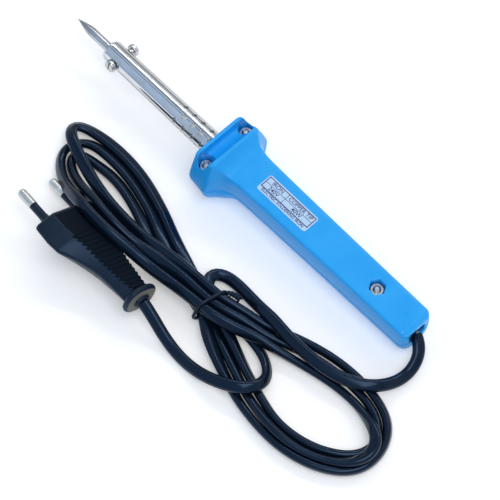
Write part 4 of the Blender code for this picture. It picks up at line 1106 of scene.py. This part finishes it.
def make_label_lines():
    """The frame, the line between its two rows and the line between its two columns."""
    left, right, low, high, column = FRAME_LEFT, FRAME_RIGHT, FRAME_LOW, FRAME_HIGH, -34.9
    middle = (low + high) / 2
    verts, faces = [], []
    for line, width in ((((left, low), (right, low), (right, high), (left, high), (left, low)), 0.40),
                        (((left, middle), (right, middle)), 0.22),
                        (((column, low), (column, high)), 0.22)):
        more, more_faces = stroke(line, width)
        faces += [[i + len(verts) for i in face] for face in more_faces]
        verts += more
    ink = add_mesh("label_lines", verts, faces, "label_film", IRON, look=INK)
    ink.modifiers.new("thickness", "SOLIDIFY").thickness = 0.00002
    on_body(ink, "root")


def make_word(word, text, x, y, size):
    """One printed text, centred at a place on the film. It reads from the front of the handle to its rear, so
    its own +X is the iron's -X."""
    data = bpy.data.curves.new(f"label_{word}", "FONT")
    data.body = text
    data.size = size * 1.35 * MM
    data.align_x, data.align_y = "CENTER", "CENTER"
    data.extrude, data.offset = 0.00001, 0.00003
    data.resolution_u = 4
    obj = added(f"label_{word}", data)
    bpy.context.view_layer.update()
    mesh = bpy.data.meshes.new_from_object(obj.evaluated_get(bpy.context.evaluated_depsgraph_get()))
    bpy.data.objects.remove(obj, do_unlink=True)
    flat = added(f"label_text_{word}", mesh)
    flat.matrix_world = moved(IRON, x, y, INK_Z) @ Matrix.Rotation(pi, 4, "Z")
    mesh.materials.clear()
    mesh.materials.append(INK)
    on_body(flat, "root")


def make_label():
    """A film label with a frame and plain rating words in raised ink."""
    make_film()
    make_label_lines()
    first_column, second_column, first_row, second_row = -29.2, -42.6, -2.04, 0.72
    make_word("type", "IRON", first_column, first_row, 1.9)
    make_word("tip", "COPPER TIP", second_column, first_row, 1.9)
    make_word("volts", "240V", first_column, second_row, 1.95)
    make_word("watts", "40W", second_column, second_row, 1.95)
    make_word("use", "ELECTRIC SOLDERING IRON", -36.9, 3.15, 1.42)


# ---------------------------------------------------------------- plug

def plug_ring(x):
    """The plug's six-sided section with rounded corners."""
    wide, flat, thick = plug_sizes(x)
    wide = max(wide, flat + 0.35)
    radius = 0.9 if x < -18 else 1.1
    corners = [(flat, thick), (wide, 0.0), (flat, -thick), (-flat, -thick), (-wide, 0.0), (-flat, thick)]
    ring = []
    for i, here in enumerate(corners):
        size = radius * (2.0 if i in (1, 4) else 1.0)
        ring += [(x, y, z) for y, z in corner_arc(corners[i - 1], here, corners[(i + 1) % 6], size, 0.45)]
    return ring


def give_look(obj, look, wanted):
    """A second look for the faces that are wanted, in the same slot."""
    obj.data.materials.append(look)
    for poly in obj.data.polygons:
        if wanted(poly):
            poly.material_index = 1


def make_plug_body():
    spots = [*np.linspace(0, -1.8, 7), *np.arange(-3.0, -48.6, -0.6), -48.6]
    body = loft("plug_shell", [plug_ring(x) for x in spots], "plug_pvc", PLUG, angle=38)
    combine(body, prism("recess", circle(2.3, 40, -7.0, -3.4), 6.1, 8.0, PLUG))
    bake(body, angle=38)
    # The top flat faces take the darker look: painted shade on a matt finish.
    give_look(body, MATT_AND_SHADE, lambda poly: poly.normal.z > 0.95 and poly.center.x < -0.002)
    return on_body(body, "root", "plug_body")


def make_grip(side):
    """The finger grip on a face of the plug: a pad with fine grooves across it."""
    start, pitch, depth, half_groove, rim = -14.6, 2.35, 0.34, 0.11, 0.22
    pad = []
    for x in np.arange(start, -48.0, -0.14):
        _, flat, thick = plug_sizes(x)
        phase = ((start - x) / pitch) % 1.0
        groove = depth * sum(max(0.0, 1.0 - abs(phase - middle) / half_groove) for middle in (0.06, 1.06))
        edge = flat + (0.15 + 0.75 * (1.0 - phase) if side > 0 else -1.0)
        top, low = thick + (0.28 if side > 0 else 0.02) - groove, thick - 1.3
        half = [(x, edge + 0.5, side * low), (x, edge, side * (top - rim)), (x, edge - rim, side * top)]
        pad.append(mirrored(half))
    grip = loft(f"plug_grip_{'top' if side > 0 else 'low'}", pad, "plug_pvc", PLUG, angle=30)
    return on_body(grip, "root")


def make_flange():
    """The collar at the plug's rear, with a paler face round the flex."""
    rings = []
    for x, wide, high in ((-48.3, 5.6, 4.6), (-48.4, 7.2, 6.1), (-48.8, 7.8, 6.7), (-49.5, 8.1, 7.0),
                          (-50.3, 8.1, 7.0), (-50.9, 7.8, 6.7), (-51.2, 7.2, 6.1), (-51.3, 4.4, 3.6),
                          (-51.4, 3.9, 3.1), (-52.6, 3.6, 2.8), (-52.8, 3.2, 2.4)):
        ring = []
        for k in range(56):
            c, s = cos(tau * (k + 0.5) / 56), sin(tau * (k + 0.5) / 56)
            ring.append((x, copysign(abs(c) ** 0.8, c) * wide, copysign(abs(s) ** 0.8, s) * high))
        rings.append(ring)
    flange = loft("plug_flange", rings, "plug_pvc", PLUG, angle=38)
    give_look(flange, TAIL_GREY, lambda poly: -0.05145 < poly.center.x < -0.0512 and poly.normal.x < -0.8)
    return on_body(flange, "root")


def make_pin(letter, side):
    """A round pin and its insulating sleeve; the pins lean together a little."""
    place = moved(PLUG, 0, side * 9.3) @ Matrix.Rotation(radians(-1.2 * side), 4, "Z")
    pin = [(-1.0, 0), (-1.0, 1.7), (10.1, 1.7), (10.15, 2.0), (17.4, 2.0), (18.1, 1.86), (18.6, 1.6),
           (18.88, 1.2), (19.0, 0.7), (19.0, 0)]
    sleeve = [(-0.4, 1.72), (-0.4, 3.3), (0.2, 2.9), (1.0, 2.35), (2.2, 2.0), (4.0, 1.86), (9.8, 1.86),
              (10.05, 1.78), (10.05, 1.72)]
    rod = turned(f"pin_{letter}", pin, "plated_pins", place, 40, angle=40)
    cover = turned(f"pin_cover_{letter}", sleeve, "plug_pvc", place, 40, angle=40)
    return [on_body(rod, "root", f"plug_pin_{letter}"), on_body(cover, "root", f"pin_sleeve_{letter}")]


def make_plug():
    top_grip, low_grip = make_grip(1), make_grip(-1)
    # The top grip takes the same darker look: painted shade on a matt finish.
    top_grip.data.materials[0] = MATT_AND_SHADE
    pieces = [make_plug_body(), make_flange(), top_grip, low_grip, *make_pin("a", 1), *make_pin("b", -1)]
    for piece in pieces:
        into_frame(piece)
    return pieces


# ---------------------------------------------------------------- stage

def make_floor(size=6.0):
    mesh = bpy.data.meshes.new("floor")
    corners = [(-size, -size, 0), (size, -size, 0), (size, size, 0), (-size, size, 0)]
    mesh.from_pydata(corners, [], [(0, 1, 2, 3)])
    floor, _, _ = principled("floor", (0.90, 0.90, 0.90), 0.9, Specular_IOR_Level=0.1,
                             Emission_Color=(1.0, 0.93, 0.84, 1.0), Emission_Strength=0.26)
    mesh.materials.append(floor)
    added("floor", mesh)


def make_tent():
    """A light tent: its brightness goes by the angle over the object, from its -Y side to its +Y side, and
    it has two dark seams along X."""
    world = bpy.data.worlds.new("studio")
    world.use_nodes = True
    bpy.context.scene.world = world
    tree = world.node_tree
    back = tree.nodes["Background"]
    parts = split_coords(tree, "Generated")
    over = tree.nodes.new("ShaderNodeMath")
    over.operation = "ARCTAN2"
    tree.links.new(parts["Y"], over.inputs[0])
    tree.links.new(parts["Z"], over.inputs[1])
    share = remap(tree, over.outputs[0], 0.0, 1.0, -pi / 2, pi / 2)
    ramp(tree, share, back.inputs["Color"],
         (0.0, (0.30, 0.28, 0.26)), (0.10, (0.42, 0.41, 0.41)), (0.19, (0.78, 0.79, 0.82)),
         (0.40, (0.70, 0.76, 0.86)), (0.402, (0.64, 0.72, 0.84)), (0.412, (0.02, 0.04, 0.08)),
         (0.444, (0.02, 0.04, 0.08)), (0.454, (0.60, 0.70, 0.84)), (0.528, (0.58, 0.69, 0.84)),
         (0.536, (0.04, 0.07, 0.11)), (0.556, (0.04, 0.07, 0.11)), (0.564, (0.54, 0.66, 0.83)),
         (0.90, (0.48, 0.60, 0.78)), (1.0, (0.36, 0.46, 0.60)))
    back.inputs["Strength"].default_value = 0.9


def make_light(name, spot, aim, sides, power, color):
    data = bpy.data.lights.new(name, "AREA")
    data.shape = "RECTANGLE"
    data.size, data.size_y = sides
    data.energy = power
    data.color = color
    point_at(added(name, data), spot, aim)


def make_stage():
    make_floor()
    make_tent()
    make_light("key", (-0.50, 0.20, 1.35), (-0.03, 0.03, 0.0), (0.9, 0.9), 7.5, (1.0, 0.98, 0.95))
    make_light("strip", (0.35, -0.78, 1.0), (-0.02, 0.03, 0.0), (1.3, 0.07), 3.0, (1.0, 1.0, 1.0))
    bpy.context.scene.view_settings.view_transform = "Standard"


# ---------------------------------------------------------------- everything

INNER_NODES = {
    "plated_steel": ("barrel_flange", "nose_collar", "bit_tube", "cord_clamp_bar", "clamp_bar_screw_a",
                     "clamp_bar_screw_b"),
    "mica": ("mica_core", "mica_cover"),
    "nichrome": ("heating_coil", "heater_lead_a", "heater_lead_b"),
    "ceramic": ("rear_bush",),
    "glass_sleeve": ("lead_sleeve_a", "lead_sleeve_b"),
    "clear_cap": ("splice_cap_a", "splice_cap_b"),
    "core_plastic": ("cord_core_a", "cord_core_b"),
    "cord_pvc": ("cord_inner",),
}


def dress_inner_nodes():
    for slot, nodes in INNER_NODES.items():
        for node in nodes:
            mesh = frame["nodes"][node].data
            mesh.materials.clear()
            mesh.materials.append(LOOK[slot])
            mesh.shade_smooth()
            mesh.set_sharp_from_angle(angle=radians(35))


def main():
    make_camera()
    cord, route, verts = make_cord()
    tie = make_tie(verts)
    make_stage()
    make_upper_shell()
    make_lower_shell()
    for name, node, x, y, seat, top, turn in (
            ("guard_{}_l", "guard_{}_left", 0, GUARD_SCREW_Y, -7.6, 6.9, 12),
            ("guard_{}_r", "guard_{}_right", 0, -GUARD_SCREW_Y, -7.6, 6.9, 41),
            ("rear_{}_m", "rear_{}", REAR_SCREW_X, 0, -6.9, 7.5, 0)):
        make_bolt(name.format("bolt"), x, y, seat, top + 0.6, node.format("bolt"))
        make_nut(name.format("nut"), x, y, top, node.format("nut"), turn)
    make_barrel()
    make_clamp_screw("clamp_screw_l", 1, 5.15, "clamp_screw_left")
    make_clamp_screw("clamp_screw_r", -1, 6.35, "clamp_screw_right")
    make_bit()
    make_label()
    plug = make_plug()
    dress_inner_nodes()
    print("flex length, m:", round(float(path_lengths(route)[-1]) * MM, 4))


main()
